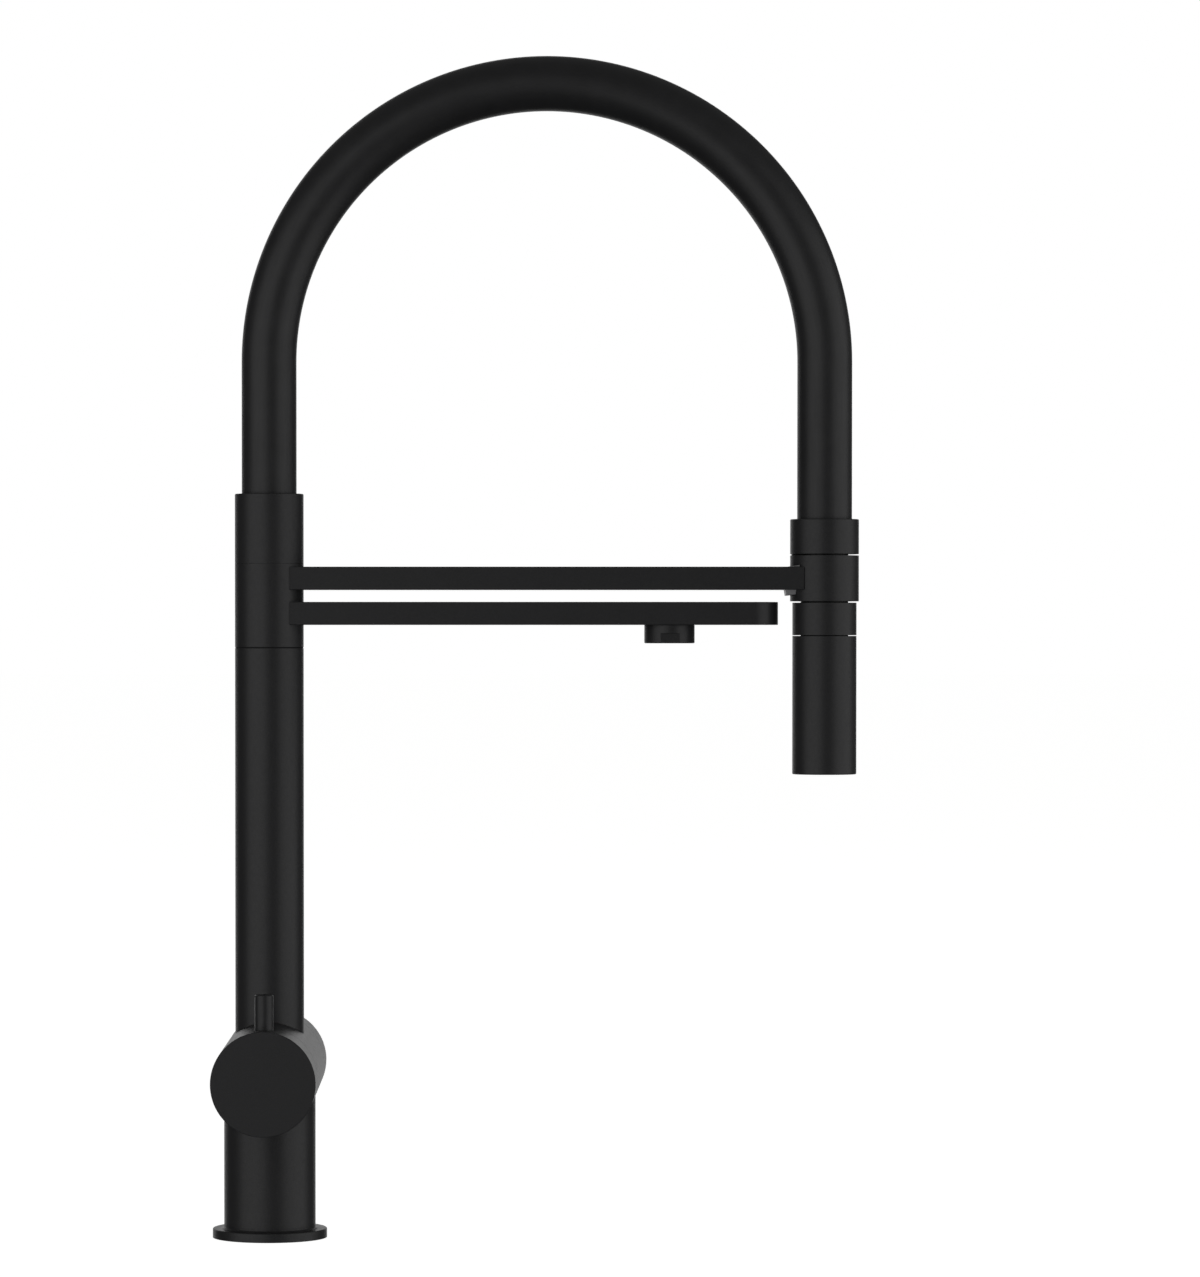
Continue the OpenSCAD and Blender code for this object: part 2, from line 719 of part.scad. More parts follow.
module swivel_spindle() {
    low = column_top - spindle_plug;
    color(brass)
        difference() {
            union() {
                hole(column_bore - 2 * fit_gap, low, column_top);
                hole(spindle_d, low, spindle_top);
            }
            for (z = seal_levels)
                ring(spindle_d + eps, spindle_d - 2 * seal_depth, z - seal_cord / 2 - fit_gap,
                    z + seal_cord / 2 + fit_gap);
            for (z = guide_levels)
                ring(spindle_d + eps, spindle_d - 2 * guide_t, z - guide_w / 2 - fit_gap,
                    z + guide_w / 2 + fit_gap);
            ring(spindle_d + eps, spindle_d - 2 * guide_t, filter_mid - water_groove_w / 2,
                filter_mid + water_groove_w / 2);
            ring(spindle_d + eps, spindle_clip_bore, clip_z - fit_gap, clip_z + clip_t + fit_gap);
            translate([0, mixed_tube_y, 0]) {
                hole(mixed_tube_bore, low, spindle_top + eps);
                hole(mixed_tube_d + 2 * fit_gap, low - eps, tube_high);
            }
            translate([0, -filter_tube_y, 0]) {
                hole(filter_tube_bore, low, filter_mid);
                hole(filter_tube_d + 2 * fit_gap, low - eps, tube_high);
            }
            translate([0, -filter_tube_y, filter_mid - filter_tube_bore / 3])
                rotate([90, 0, 0])
                    cylinder(d = water_groove_w - cross_step / 2, h = spindle_d);
        }
}

module spindle_seals() {
    color(rubber_black)
        for (z = seal_levels)
            round_seal(spindle_d + run_gap, seal_cord, z);
}

module spindle_guides() {
    color(ceramic_white)
        for (z = guide_levels)
            ring(spindle_d + run_gap, spindle_d - 2 * guide_t + 2 * fit_gap, z - guide_w / 2, z + guide_w / 2);
}

module spindle_clip() {
    color(steel)
        clip(chamber_d - 2 * clip_gap, spindle_clip_bore + 2 * fit_gap, clip_z);
}

module slip_washer() {
    color(rubber_black)
        ring(column_d - 2 * slip_washer_inset, spindle_d + 2 * run_gap, column_top, column_top + slip_washer_t);
}

module knob_slide_rings() {
    color(ceramic_white)
        for (side = [mixer_side, filter_side])
            on_barrel(side)
                ring(slide_ring_d, slide_ring_d - 2 * slide_ring_w, barrel_end - slide_ring_seat,
                    barrel_end - slide_ring_seat + slide_ring_t);
}

module mixer_cartridge() {
    color(plastic_grey)
        on_barrel(mixer_side)
            difference() {
                union() {
                    hole(cartridge_d, cartridge_seat, cartridge_end);
                    hole(cartridge_neck_d, cartridge_end - eps, cartridge_end + cartridge_neck_len);
                }
                hole(cartridge_d - 2 * cartridge_wall, cartridge_seat + cartridge_floor, cartridge_inside);
                hole(stem_d + 2 * run_gap, cartridge_inside - eps, cartridge_end + cartridge_neck_len + eps);
                at_cartridge_ports() {
                    hole(cartridge_port_d, cartridge_seat - eps, cartridge_seat + cartridge_floor + eps);
                    hole(cartridge_port_d + 2 * port_seal_w + 2 * fit_gap, cartridge_seat - eps,
                        cartridge_seat + port_seal_t);
                }
            }
}

module cartridge_seals() {
    color(rubber_black)
        on_barrel(mixer_side)
            at_cartridge_ports()
                ring(cartridge_port_d + 2 * port_seal_w, cartridge_port_d, cartridge_seat,
                    cartridge_seat + port_seal_t - fit_gap);
}

module mixer_fixed_disc() {
    color(ceramic_white)
        on_barrel(mixer_side)
            difference() {
                hole(mixer_disc_d, mixer_disc_z, mixer_disc_z + mixer_disc_t);
                at_cartridge_ports()
                    hole(cartridge_port_d, mixer_disc_z - eps, mixer_disc_z + mixer_disc_t + eps);
            }
}

module mixer_turning_disc() {
    passage = mixed_port_rise + cartridge_port_d / 2;
    color(ceramic_white)
        on_barrel(mixer_side)
            difference() {
                hole(mixer_disc_d, mixer_turning_z, mixer_turning_z + mixer_disc_t);
                intersection() {
                    hole(2 * passage, mixer_turning_z - eps, mixer_turning_z + mixer_disc_t / 2);
                    translate([-passage, 0, mixer_turning_z - eps])
                        cube([2 * passage, passage, mixer_disc_t]);
                }
            }
}

// A stem with a round journal from its foot to its shoulder and a square drive at its outer end
module stem(d, square, foot_z, shoulder) {
    tip = knob_floor - fit_gap;
    hole(d, foot_z, shoulder);
    intersection() {
        hole(d, shoulder - eps, tip);
        translate([-square / 2, -square / 2, shoulder - eps])
            cube([square, square, tip - shoulder + eps]);
    }
}

module mixer_stem() {
    color(brass)
        on_barrel(mixer_side) {
            hole(stem_foot_d, mixer_stem_z, cartridge_inside - fit_gap);
            stem(stem_d, stem_square, mixer_stem_z, mixer_boss - stem_shoulder_gap);
        }
}

module mixer_nut() {
    top = barrel_end - slide_ring_seat - fit_gap;
    color(brass)
        on_barrel(mixer_side)
            difference() {
                ring(nut_d - 2 * fit_gap, cartridge_neck_d + 2 * fit_gap, cartridge_end, top);
                for (a = [0, 90, 180, 270])
                    rotate([0, 0, a])
                        translate([cartridge_neck_d / 2 - eps, -nut_slot_w / 2, top - nut_slot_depth])
                            cube([nut_d / 2, nut_slot_w, nut_slot_depth + eps]);
            }
}

// A hollow knob whose boss starts at the given distance from the column and takes a stem's square drive
module knob(boss_low, drive_d, square) {
    socket = square + 2 * fit_gap;
    difference() {
        union() {
            difference() {
                ring(barrel_d, 0, knob_root, knob_face, 0, knob_bevel);
                hole(knob_cavity_d, knob_root - eps, knob_floor);
            }
            hole(knob_boss_d, boss_low, knob_floor + eps);
            translate([-lever_pad / 2, 0, lever_z - lever_pad / 2])
                cube([lever_pad, barrel_d / 2 - knob_wall / 2, lever_pad / 2 + lever_inset - knob_end + eps]);
        }
        intersection() {
            hole(drive_d + 2 * fit_gap, boss_low - eps, knob_floor);
            translate([-socket / 2, -socket / 2, boss_low - eps])
                cube([socket, socket, knob_floor - boss_low + eps]);
        }
        translate([0, 0, lever_z])
            rotate([-90, 0, 0]) {
                hole(lever_shank_d + 2 * fit_gap, knob_boss_d / 2, barrel_d);
                hole(lever_d + 2 * fit_gap, barrel_d / 2 - lever_seat, barrel_d);
            }
        translate([0, 0, lever_z])
            rotate([90, 0, 0])
                hole(grub_d + 2 * fit_gap, 0, barrel_d);
    }
}

module lever() {
    translate([0, 0, lever_z])
        rotate([-90, 0, 0]) {
            hole(lever_shank_d, knob_boss_d / 2 + fit_gap, barrel_d / 2);
            ring(lever_d, 0, barrel_d / 2 - lever_seat, lever_top, 0, lever_bevel);
        }
}

// A socket set screw that bears on the flat of a stem's square drive
module grub_screw(square) {
    grub_tip = square / 2 + fit_gap;
    key_depth = grub_len / 2;
    translate([0, 0, lever_z])
        rotate([90, 0, 0])
            difference() {
                hole(grub_d, grub_tip, grub_tip + grub_len);
                translate([0, 0, grub_tip + grub_len - key_depth])
                    cylinder(d = grub_key / cos(30), h = key_depth + eps, $fn = 6);
            }
}

module mixer_knob() {
    color(black_coat)
        on_barrel(mixer_side)
            knob(mixer_boss, stem_d, stem_square);
}

module mixer_lever() {
    color(black_coat)
        on_barrel(mixer_side)
            lever();
}

module mixer_grub_screw() {
    color(steel)
        on_barrel(mixer_side)
            grub_screw(stem_square);
}

module filter_valve() {
    color(brass)
        on_barrel(filter_side)
            difference() {
                union() {
                    hole(headwork_d, headwork_seat + valve_seal_t, headwork_end);
                    translate([0, 0, headwork_end])
                        cylinder(d = headwork_hex / cos(30), h = headwork_hex_t, $fn = 6);
                    hole(headwork_neck_d, hex_end - eps, hex_end + headwork_neck_len);
                }
                hole(headwork_cavity_d, headwork_seat, headwork_inside);
                hole(filter_stem_d + 2 * run_gap, headwork_seat, hex_end + headwork_neck_len + eps);
                translate([0, 0, valve_window_z])
                    rotate([90, 0, 0])
                        cylinder(d = filter_cross_d, h = 2 * headwork_d, center = true);
            }
}

module filter_valve_seal() {
    color(rubber_black)
        on_barrel(filter_side)
            ring(headwork_d, waterway_d, headwork_seat, headwork_seat + valve_seal_t - fit_gap);
}

// A ceramic disc with two opposite quarter passages
module quarter_disc(d, low) {
    passage = d / 2 - disc_wall;
    difference() {
        hole(d, low, low + filter_disc_t);
        for (a = [0, 180])
            rotate([0, 0, a])
                intersection() {
                    ring(2 * passage, 2 * disc_wall, low - eps, low + filter_disc_t + eps);
                    translate([0, 0, low - eps])
                        cube([passage, passage, filter_disc_t + 2 * eps]);
                }
    }
}

module filter_fixed_disc() {
    color(ceramic_white)
        on_barrel(filter_side)
            quarter_disc(headwork_cavity_d - 2 * fit_gap, filter_disc_z);
}

module filter_turning_disc() {
    color(ceramic_white)
        on_barrel(filter_side)
            rotate([0, 0, 90])
                quarter_disc(headwork_cavity_d - 2 * run_gap, filter_turning_z);
}

module filter_stem() {
    color(brass)
        on_barrel(filter_side) {
            intersection() {
                hole(headwork_cavity_d - 2 * run_gap, filter_stem_z, headwork_inside - fit_gap);
                rotate([0, 0, 45])
                    translate([-headwork_d / 2, -valve_bar_w / 2, filter_stem_z])
                        cube([headwork_d, valve_bar_w, headwork_inside - filter_stem_z]);
            }
            stem(filter_stem_d, filter_square, filter_stem_z, filter_boss - stem_shoulder_gap);
        }
}

module filter_knob() {
    color(black_coat)
        on_barrel(filter_side)
            knob(filter_boss, filter_stem_d, filter_square);
}

module filter_lever() {
    color(black_coat)
        on_barrel(filter_side)
            lever();
}

module filter_grub_screw() {
    color(steel)
        on_barrel(filter_side)
            grub_screw(filter_square);
}

// The tenon on an arm's root, and with a clearance the pocket that takes it
module tenon(mid, gap) {
    translate([tenon_root - gap, -tenon_w / 2 - gap, mid - tenon_h / 2 - gap])
        cube([column_d / 2 - tenon_root + eps + gap, tenon_w + 2 * gap, tenon_h + 2 * gap]);
}

module arm_sleeve() {
    color(black_coat)
        difference() {
            ring(column_d, sleeve_bore, sleeve_low, sleeve_top, seam_bevel);
            hole(chamber_d, chamber_floor, sleeve_top + eps);
            tenon(filter_mid, fit_gap);
            tenon(dock_mid, fit_gap);
            translate([0, 0, filter_mid])
                rotate([0, 90, 0])
                    cylinder(d = cross_d, h = column_d / 2);
        }
}

// The bevelled cross-section of both arms, as it shows from their ends
module arm_section() {
    w = arm_w / 2;
    polygon([
        [-w, arm_bevel], [-w + arm_bevel, 0], [w - arm_bevel, 0], [w, arm_bevel],
        [w, arm_h - arm_bevel], [w - arm_bevel, arm_h], [-w + arm_bevel, arm_h], [-w, arm_h - arm_bevel]
    ]);
}

// A straight length of arm from the column's axis
module arm_bar(length, low) {
    translate([0, 0, low])
        rotate([90, 0, 90])
            linear_extrude(height = length)
                arm_section();
}

// The leaning magnet, and with a clearance the pocket that takes it
module magnet_block(gap) {
    translate([reach - column_d / 2 + magnet_inset, 0, dock_mid - magnet_drop])
        rotate([0, -magnet_lean, 0])
            translate([-magnet_t / 2 - gap, -magnet_w / 2 - gap, -magnet_h / 2 - gap])
                cube([magnet_t + 2 * gap, magnet_w + 2 * gap, magnet_h + 2 * gap]);
}

module dock_arm() {
    color(black_coat)
        difference() {
            union() {
                difference() {
                    arm_bar(reach, dock_arm_z);
                    hole(column_d + 2 * fit_gap, dock_arm_z - eps, dock_arm_z + arm_h + eps);
                }
                tenon(dock_mid, 0);
            }
            on_wand()
                hole(column_d + 2 * dock_gap, dock_arm_z - eps, dock_arm_z + arm_h + eps);
            magnet_block(fit_gap);
        }
}

module dock_magnet() {
    color(nickel)
        difference() {
            magnet_block(0);
            on_wand()
                hole(column_d + 2 * dock_gap, ring_low, ring_top);
        }
}

module filter_spout() {
    tip = filter_spout_reach - arm_w / 2;
    color(black_coat)
        difference() {
            union() {
                difference() {
                    union() {
                        arm_bar(tip, filter_arm_z);
                        translate([tip, 0, 0])
                            ring(arm_w, 0, filter_arm_z, filter_arm_z + arm_h, arm_bevel, arm_bevel);
                    }
                    hole(column_d + 2 * fit_gap, filter_arm_z - eps, filter_arm_z + arm_h + eps);
                }
                tenon(filter_mid, 0);
            }
            translate([0, 0, filter_mid])
                rotate([0, 90, 0])
                    cylinder(d = waterway_d, h = aerator_x);
            translate([aerator_x, 0, 0])
                hole(aerator_thread_d + 2 * fit_gap, filter_arm_z - eps, filter_arm_z + arm_h - spout_roof);
        }
}

module aerator_housing() {
    low = filter_arm_z - aerator_h;
    color(black_coat)
        translate([aerator_x, 0, 0])
            difference() {
                union() {
                    ring(aerator_d, aerator_bore, low, filter_arm_z - fit_gap, edge_bevel, 0);
                    ring(aerator_thread_d, aerator_bore, low, filter_arm_z + aerator_thread_len);
                    ring(aerator_thread_d, aerator_bore - 2 * aerator_lip, low + edge_bevel,
                        low + aerator_lip_t);
                }
                ring(aerator_d - 2 * aerator_rim, aerator_thread_d, filter_arm_z - aerator_seal_t,
                    filter_arm_z + eps);
                for (a = [0, 180])
                    rotate([0, 0, a])
                        translate([-aerator_flat_w / 2, aerator_d / 2 - aerator_flat, low - eps])
                            cube([aerator_flat_w, aerator_d, aerator_flat_h + eps]);
            }
}

module aerator_seal() {
    color(rubber_black)
        translate([aerator_x, 0, 0])
            ring(aerator_d - 2 * aerator_rim - 2 * fit_gap, aerator_thread_d + 2 * fit_gap,
                filter_arm_z - aerator_seal_t, filter_arm_z);
}

// The aerator's honeycomb: a ring of cells round each ring, cut through the insert
module aerator_insert() {
    low = filter_arm_z - aerator_h + aerator_lip_t;
    color(plastic_grey)
        translate([aerator_x, 0, 0])
            difference() {
                hole(aerator_bore - 2 * fit_gap, low, filter_arm_z + aerator_thread_len - thread_relief);
                for (row = [-3 : 3], col = [-3 : 3])
                    if (abs(row + col) <= 3)
                        translate([(col + row / 2) * aerator_pitch, row * aerator_pitch * cos(30), low - eps])
                            rotate([0, 0, 30])
                                cylinder(d = aerator_cell / cos(30), h = aerator_h + aerator_thread_len,
                                    $fn = 6);
            }
}

module hose_socket() {
    spigot_low = socket_low - socket_spigot;
    color(black_coat)
        difference() {
            union() {
                ring(column_d, 0, socket_low, socket_top, 0, edge_bevel);
                hole(chamber_d - 2 * fit_gap, spigot_low, socket_low + eps);
            }
            hole(hose_seat_d, socket_floor, socket_top + eps);
            hole(fitting_thread_d + 2 * fit_gap, spigot_low, socket_floor + eps);
            hole(socket_well_d, spigot_low - eps, socket_floor - socket_web);
        }
}

// A threaded hose fitting: thread below, flange, barbed tail above, with its flange's underside at z = 0
module hose_barb(thread_len) {
    tail_d = inner_hose_bore - 2 * fit_gap;
    root_d = tail_d - 2 * barb_h;
    ring(fitting_thread_d, fitting_bore, -thread_len, 0);
    ring(fitting_flange_d, fitting_bore, 0, fitting_flange_t);
    ring(root_d, fitting_bore, fitting_flange_t, fitting_flange_t + fitting_tail);
    for (k = [1 : floor(fitting_tail / barb_pitch)])
        translate([0, 0, fitting_flange_t + (k - 1 / 2) * barb_pitch])
            difference() {
                cylinder(d1 = tail_d, d2 = root_d, h = barb_pitch / 2);
                hole(fitting_bore, -eps, barb_pitch);
            }
}

module hose_fitting() {
    color(brass)
        translate([0, 0, socket_floor])
            hose_barb(socket_web - thread_relief / 2);
}

module wand_fitting() {
    color(brass)
        on_wand()
            translate([0, 0, collar_floor])
                hose_barb(collar_floor - collar_low + neck_socket - thread_relief);
}

// A tube along the hose's run: up from the socket, round the arch and down to the collar
module hose_run(d, bore, start, end) {
    ring(d, bore, start, arch_z);
    translate([arch_r, 0, arch_z])
        rotate([90, 0, 0])
            rotate_extrude(angle = 180)
                translate([arch_r, 0])
                    difference() {
                        circle(d = d);
                        circle(d = bore);
                    }
    on_wand()
        ring(d, bore, end, arch_z);
}

module hose_jacket() {
    color(black_silicone)
        hose_run(hose_d, jacket_bore, socket_floor, collar_floor);
}

module gooseneck() {
    color(steel)
        hose_run(gooseneck_d, gooseneck_bore, socket_floor + fitting_flange_t,
            collar_floor + fitting_flange_t);
}

module inner_hose() {
    color(plastic_grey)
        hose_run(inner_hose_d, inner_hose_bore, socket_floor + fitting_flange_t,
            collar_floor + fitting_flange_t);
}

module hose_collar() {
    color(black_coat)
        on_wand()
            difference() {
                ring(column_d, fitting_thread_d + 2 * fit_gap, collar_low, collar_top, seam_bevel, edge_bevel);
                hole(hose_seat_d, collar_floor, collar_top + eps);
            }
}

module dock_ring() {
    key_x = column_d / 2 - key_inset;
    color(black_coat)
        on_wand() {
            ring(column_d, neck_d + 2 * fit_gap, ring_low, ring_top, seam_bevel, seam_bevel);
            intersection() {
                ring(2 * key_x, neck_d + 2 * fit_gap, ring_top - eps, collar_low);
                translate([-key_x, -key_w / 2, ring_top - eps])
                    cube([key_x, key_w, collar_groove + eps]);
            }
        }
}

module wand_neck() {
    color(black_coat)
        on_wand()
            difference() {
                union() {
                    hole(neck_d, selector_top + fit_gap, collar_low);
                    hole(lower_neck_d, neck_low, selector_top + eps);
                }
                hole(fitting_thread_d + 2 * fit_gap, collar_low - neck_socket, collar_low + eps);
                hole(neck_bore, neck_low - eps, collar_low);
                ring(lower_neck_d + eps, lower_neck_d - 2 * seal_depth, neck_seal_z - seal_cord / 2 - fit_gap,
                    neck_seal_z + seal_cord / 2 + fit_gap);
                ring(lower_neck_d + eps, neck_clip_bore, neck_clip_z - fit_gap, neck_clip_z + clip_t + fit_gap);
            }
}

module neck_seals() {
    color(rubber_black)
        on_wand()
            round_seal(lower_neck_d + run_gap, seal_cord, neck_seal_z);
}

module neck_clip() {
    color(steel)
        on_wand()
            clip(head_bore - 2 * clip_gap, neck_clip_bore + 2 * fit_gap, neck_clip_z);
}

// The selector turns on the neck; its skirt is the journal for the spray head
module selector_ring() {
    color(black_coat)
        on_wand() {
            ring(head_d, lower_neck_d + 2 * run_gap, selector_low, selector_top, seam_bevel, seam_bevel);
            ring(neck_d, lower_neck_d + 2 * run_gap, journal_low, selector_top);
        }
}

module spray_head() {
    color(black_coat)
        on_wand()
            difference() {
                ring(head_d, neck_d + 2 * run_gap, head_low, head_top, edge_bevel, seam_bevel);
                hole(head_bore, face_top, journal_low);
                hole(mouth_d, head_low - eps, face_top);
            }
}

// The plastic insert that leads water to the spray or to the middle stream
module diverter() {
    top = face_top + diverter_h;
    color(plastic_grey)
        on_wand()
            difference() {
                union() {
                    hole(head_bore - 2 * fit_gap, face_top, face_top + diverter_flange);
                    hole(stream_d + 2 * diverter_wall, face_top, top);
                    hole(head_bore - 2 * fit_gap, top - diverter_flange, top);
                }
                hole(stream_d, face_top - eps, top + eps);
                for (a = [0 : 60 : 300])
                    rotate([0, 0, a])
                        translate([diverter_way_r, 0, 0])
                            hole(diverter_way_d, face_top - eps, top + eps);
            }
}

// Places its children at every nozzle of the spray face
module at_nozzles() {
    for (k = [0 : outer_nozzles - 1])
        rotate([0, 0, k * 360 / outer_nozzles])
            translate([outer_nozzle_r, 0, 0])
                children();
    for (k = [0 : inner_nozzles - 1])
        rotate([0, 0, k * 360 / inner_nozzles])
            translate([inner_nozzle_r, 0, 0])
                children();
}

module spray_face() {
    color(plastic_grey)
        on_wand()
            difference() {
                hole(mouth_d - 2 * fit_gap, face_low, face_top);
                hole(stream_d + 2 * fit_gap, face_low - eps, face_top + eps);
                at_nozzles()
                    hole(nozzle_d + 2 * fit_gap, face_low - eps, face_top + eps);
            }
}

module spray_nozzles() {
    color(rubber_black)
        on_wand()
            at_nozzles()
                rotate_extrude()
                    polygon([
                        [jet_d / 2, face_low - nozzle_out], [nozzle_tip_d / 2, face_low - nozzle_out],
                        [nozzle_d / 2, face_low],
                        [nozzle_d / 2, face_top], [jet_d / 2, face_top]
                    ]);
}

module stream_outlet() {
    color(plastic_grey)
        on_wand()
            difference() {
                hole(stream_d, face_low, face_top);
                for (k = [0 : 5])
                    rotate([0, 0, 60 * k])
                        translate([stream_hole_r, 0, 0])
                            hole(stream_hole_d, face_low - eps, face_top + eps);
                hole(stream_hole_d, face_low - eps, face_top + eps);
            }
}

deck_seal();
base_flange();
inlet_block();
lower_body();
valve_body();
riser_column();
mixed_water_tube();
filtered_water_tube();
swivel_spindle();
spindle_seals();
spindle_guides();
spindle_clip();
slip_washer();
knob_slide_rings();
mixer_cartridge();
cartridge_seals();
mixer_fixed_disc();
mixer_nut();
mixer_turning_disc();
mixer_stem();
mixer_knob();
mixer_lever();
mixer_grub_screw();
filter_valve();
filter_valve_seal();
filter_fixed_disc();
filter_turning_disc();
filter_stem();
filter_knob();
filter_lever();
filter_grub_screw();
arm_sleeve();
dock_arm();
dock_magnet();
filter_spout();
aerator_housing();
aerator_insert();
aerator_seal();
hose_socket();
hose_fitting();
hose_jacket();
gooseneck();
inner_hose();
hose_collar();
wand_fitting();
dock_ring();
wand_neck();
neck_seals();
neck_clip();
selector_ring();
spray_head();
diverter();
spray_face();
spray_nozzles();
stream_outlet();
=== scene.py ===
"""Three-way kitchen faucet in matt black: its finishes, its hose, dock magnet, slip washer and
threads, and a plain white studio.

Everything is in metres in the model's own frame: +Z up, +X along the spout towards the spray
wand, -Y the side of the filtered water, and the origin in the middle of the flange's underside.
"""

import json
import logging
import math
from dataclasses import dataclass, field
from enum import Enum

import bmesh
import bpy
from mathutils import Matrix, Vector


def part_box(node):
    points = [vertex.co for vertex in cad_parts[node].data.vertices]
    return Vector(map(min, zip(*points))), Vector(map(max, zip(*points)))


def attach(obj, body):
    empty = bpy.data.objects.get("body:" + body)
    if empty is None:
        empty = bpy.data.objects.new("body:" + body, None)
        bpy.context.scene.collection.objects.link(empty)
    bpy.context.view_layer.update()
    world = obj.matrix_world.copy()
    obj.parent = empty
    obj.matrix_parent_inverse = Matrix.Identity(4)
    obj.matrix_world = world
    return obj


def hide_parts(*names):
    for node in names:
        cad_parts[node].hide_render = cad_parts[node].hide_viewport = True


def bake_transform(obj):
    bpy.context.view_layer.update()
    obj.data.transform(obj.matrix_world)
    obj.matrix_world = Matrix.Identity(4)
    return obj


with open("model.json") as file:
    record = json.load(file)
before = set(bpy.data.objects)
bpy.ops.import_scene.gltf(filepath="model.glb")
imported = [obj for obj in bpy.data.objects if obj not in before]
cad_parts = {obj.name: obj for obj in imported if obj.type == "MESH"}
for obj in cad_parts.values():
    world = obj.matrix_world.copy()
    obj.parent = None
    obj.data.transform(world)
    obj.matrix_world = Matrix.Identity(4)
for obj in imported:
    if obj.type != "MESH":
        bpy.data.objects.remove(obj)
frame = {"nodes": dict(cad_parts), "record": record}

LOG = logging.getLogger("faucet")
MM = 0.001
# Nearly all of a noise's values lie between these two
NOISE_MIDDLE = (0.3, 0.7)
WHITE = (1.0, 1.0, 1.0, 1.0)


def hex_to_linear(code: str) -> tuple[float, float, float, float]:
    """Turns an sRGB colour into the linear values that shaders take.

    Args:
        code: The colour as "#rrggbb".

    Returns:
        Red, green, blue and an alpha of one, linear.
    """
    parts = [int(code[i : i + 2], 16) / 255 for i in (1, 3, 5)]
    # The sRGB curve is straight near black and a power above it
    linear = [c / 12.92 if c <= 0.04045 else ((c + 0.055) / 1.055) ** 2.4 for c in parts]
    return (linear[0], linear[1], linear[2], 1.0)


def add_node(
    tree: bpy.types.NodeTree,
    kind: str,
    inputs: dict[str | int, object] | None = None,
    **settings: object,
) -> bpy.types.Node:
    """Adds a node with its settings, values and links.

    Args:
        tree: The node tree that gets it.
        kind: The node's type, such as "ShaderNodeTexNoise".
        inputs: For an input's name or number, a value or the output socket that is linked to it.
        settings: The node's own properties, such as operation="MULTIPLY".

    Returns:
        The new node.
    """
    node = tree.nodes.new(kind)
    for name, value in settings.items():
        setattr(node, name, value)
    for key, value in (inputs or {}).items():
        if isinstance(value, bpy.types.NodeSocket):
            tree.links.new(value, node.inputs[key])
        else:
            node.inputs[key].default_value = value
    return node


def new_object(name: str, data: bpy.types.ID) -> bpy.types.Object:
    """Makes an object of a mesh, a curve, a lamp or a camera and puts it in the scene.

    Args:
        name: The object's name.
        data: What it holds.

    Returns:
        The object.
    """
    made = bpy.data.objects.new(name, data)
    bpy.context.scene.collection.objects.link(made)
    return made


class Axis(Enum):
    """The axis that a turned or drawn piece was made round."""

    X = 0
    Y = 1
    Z = 2


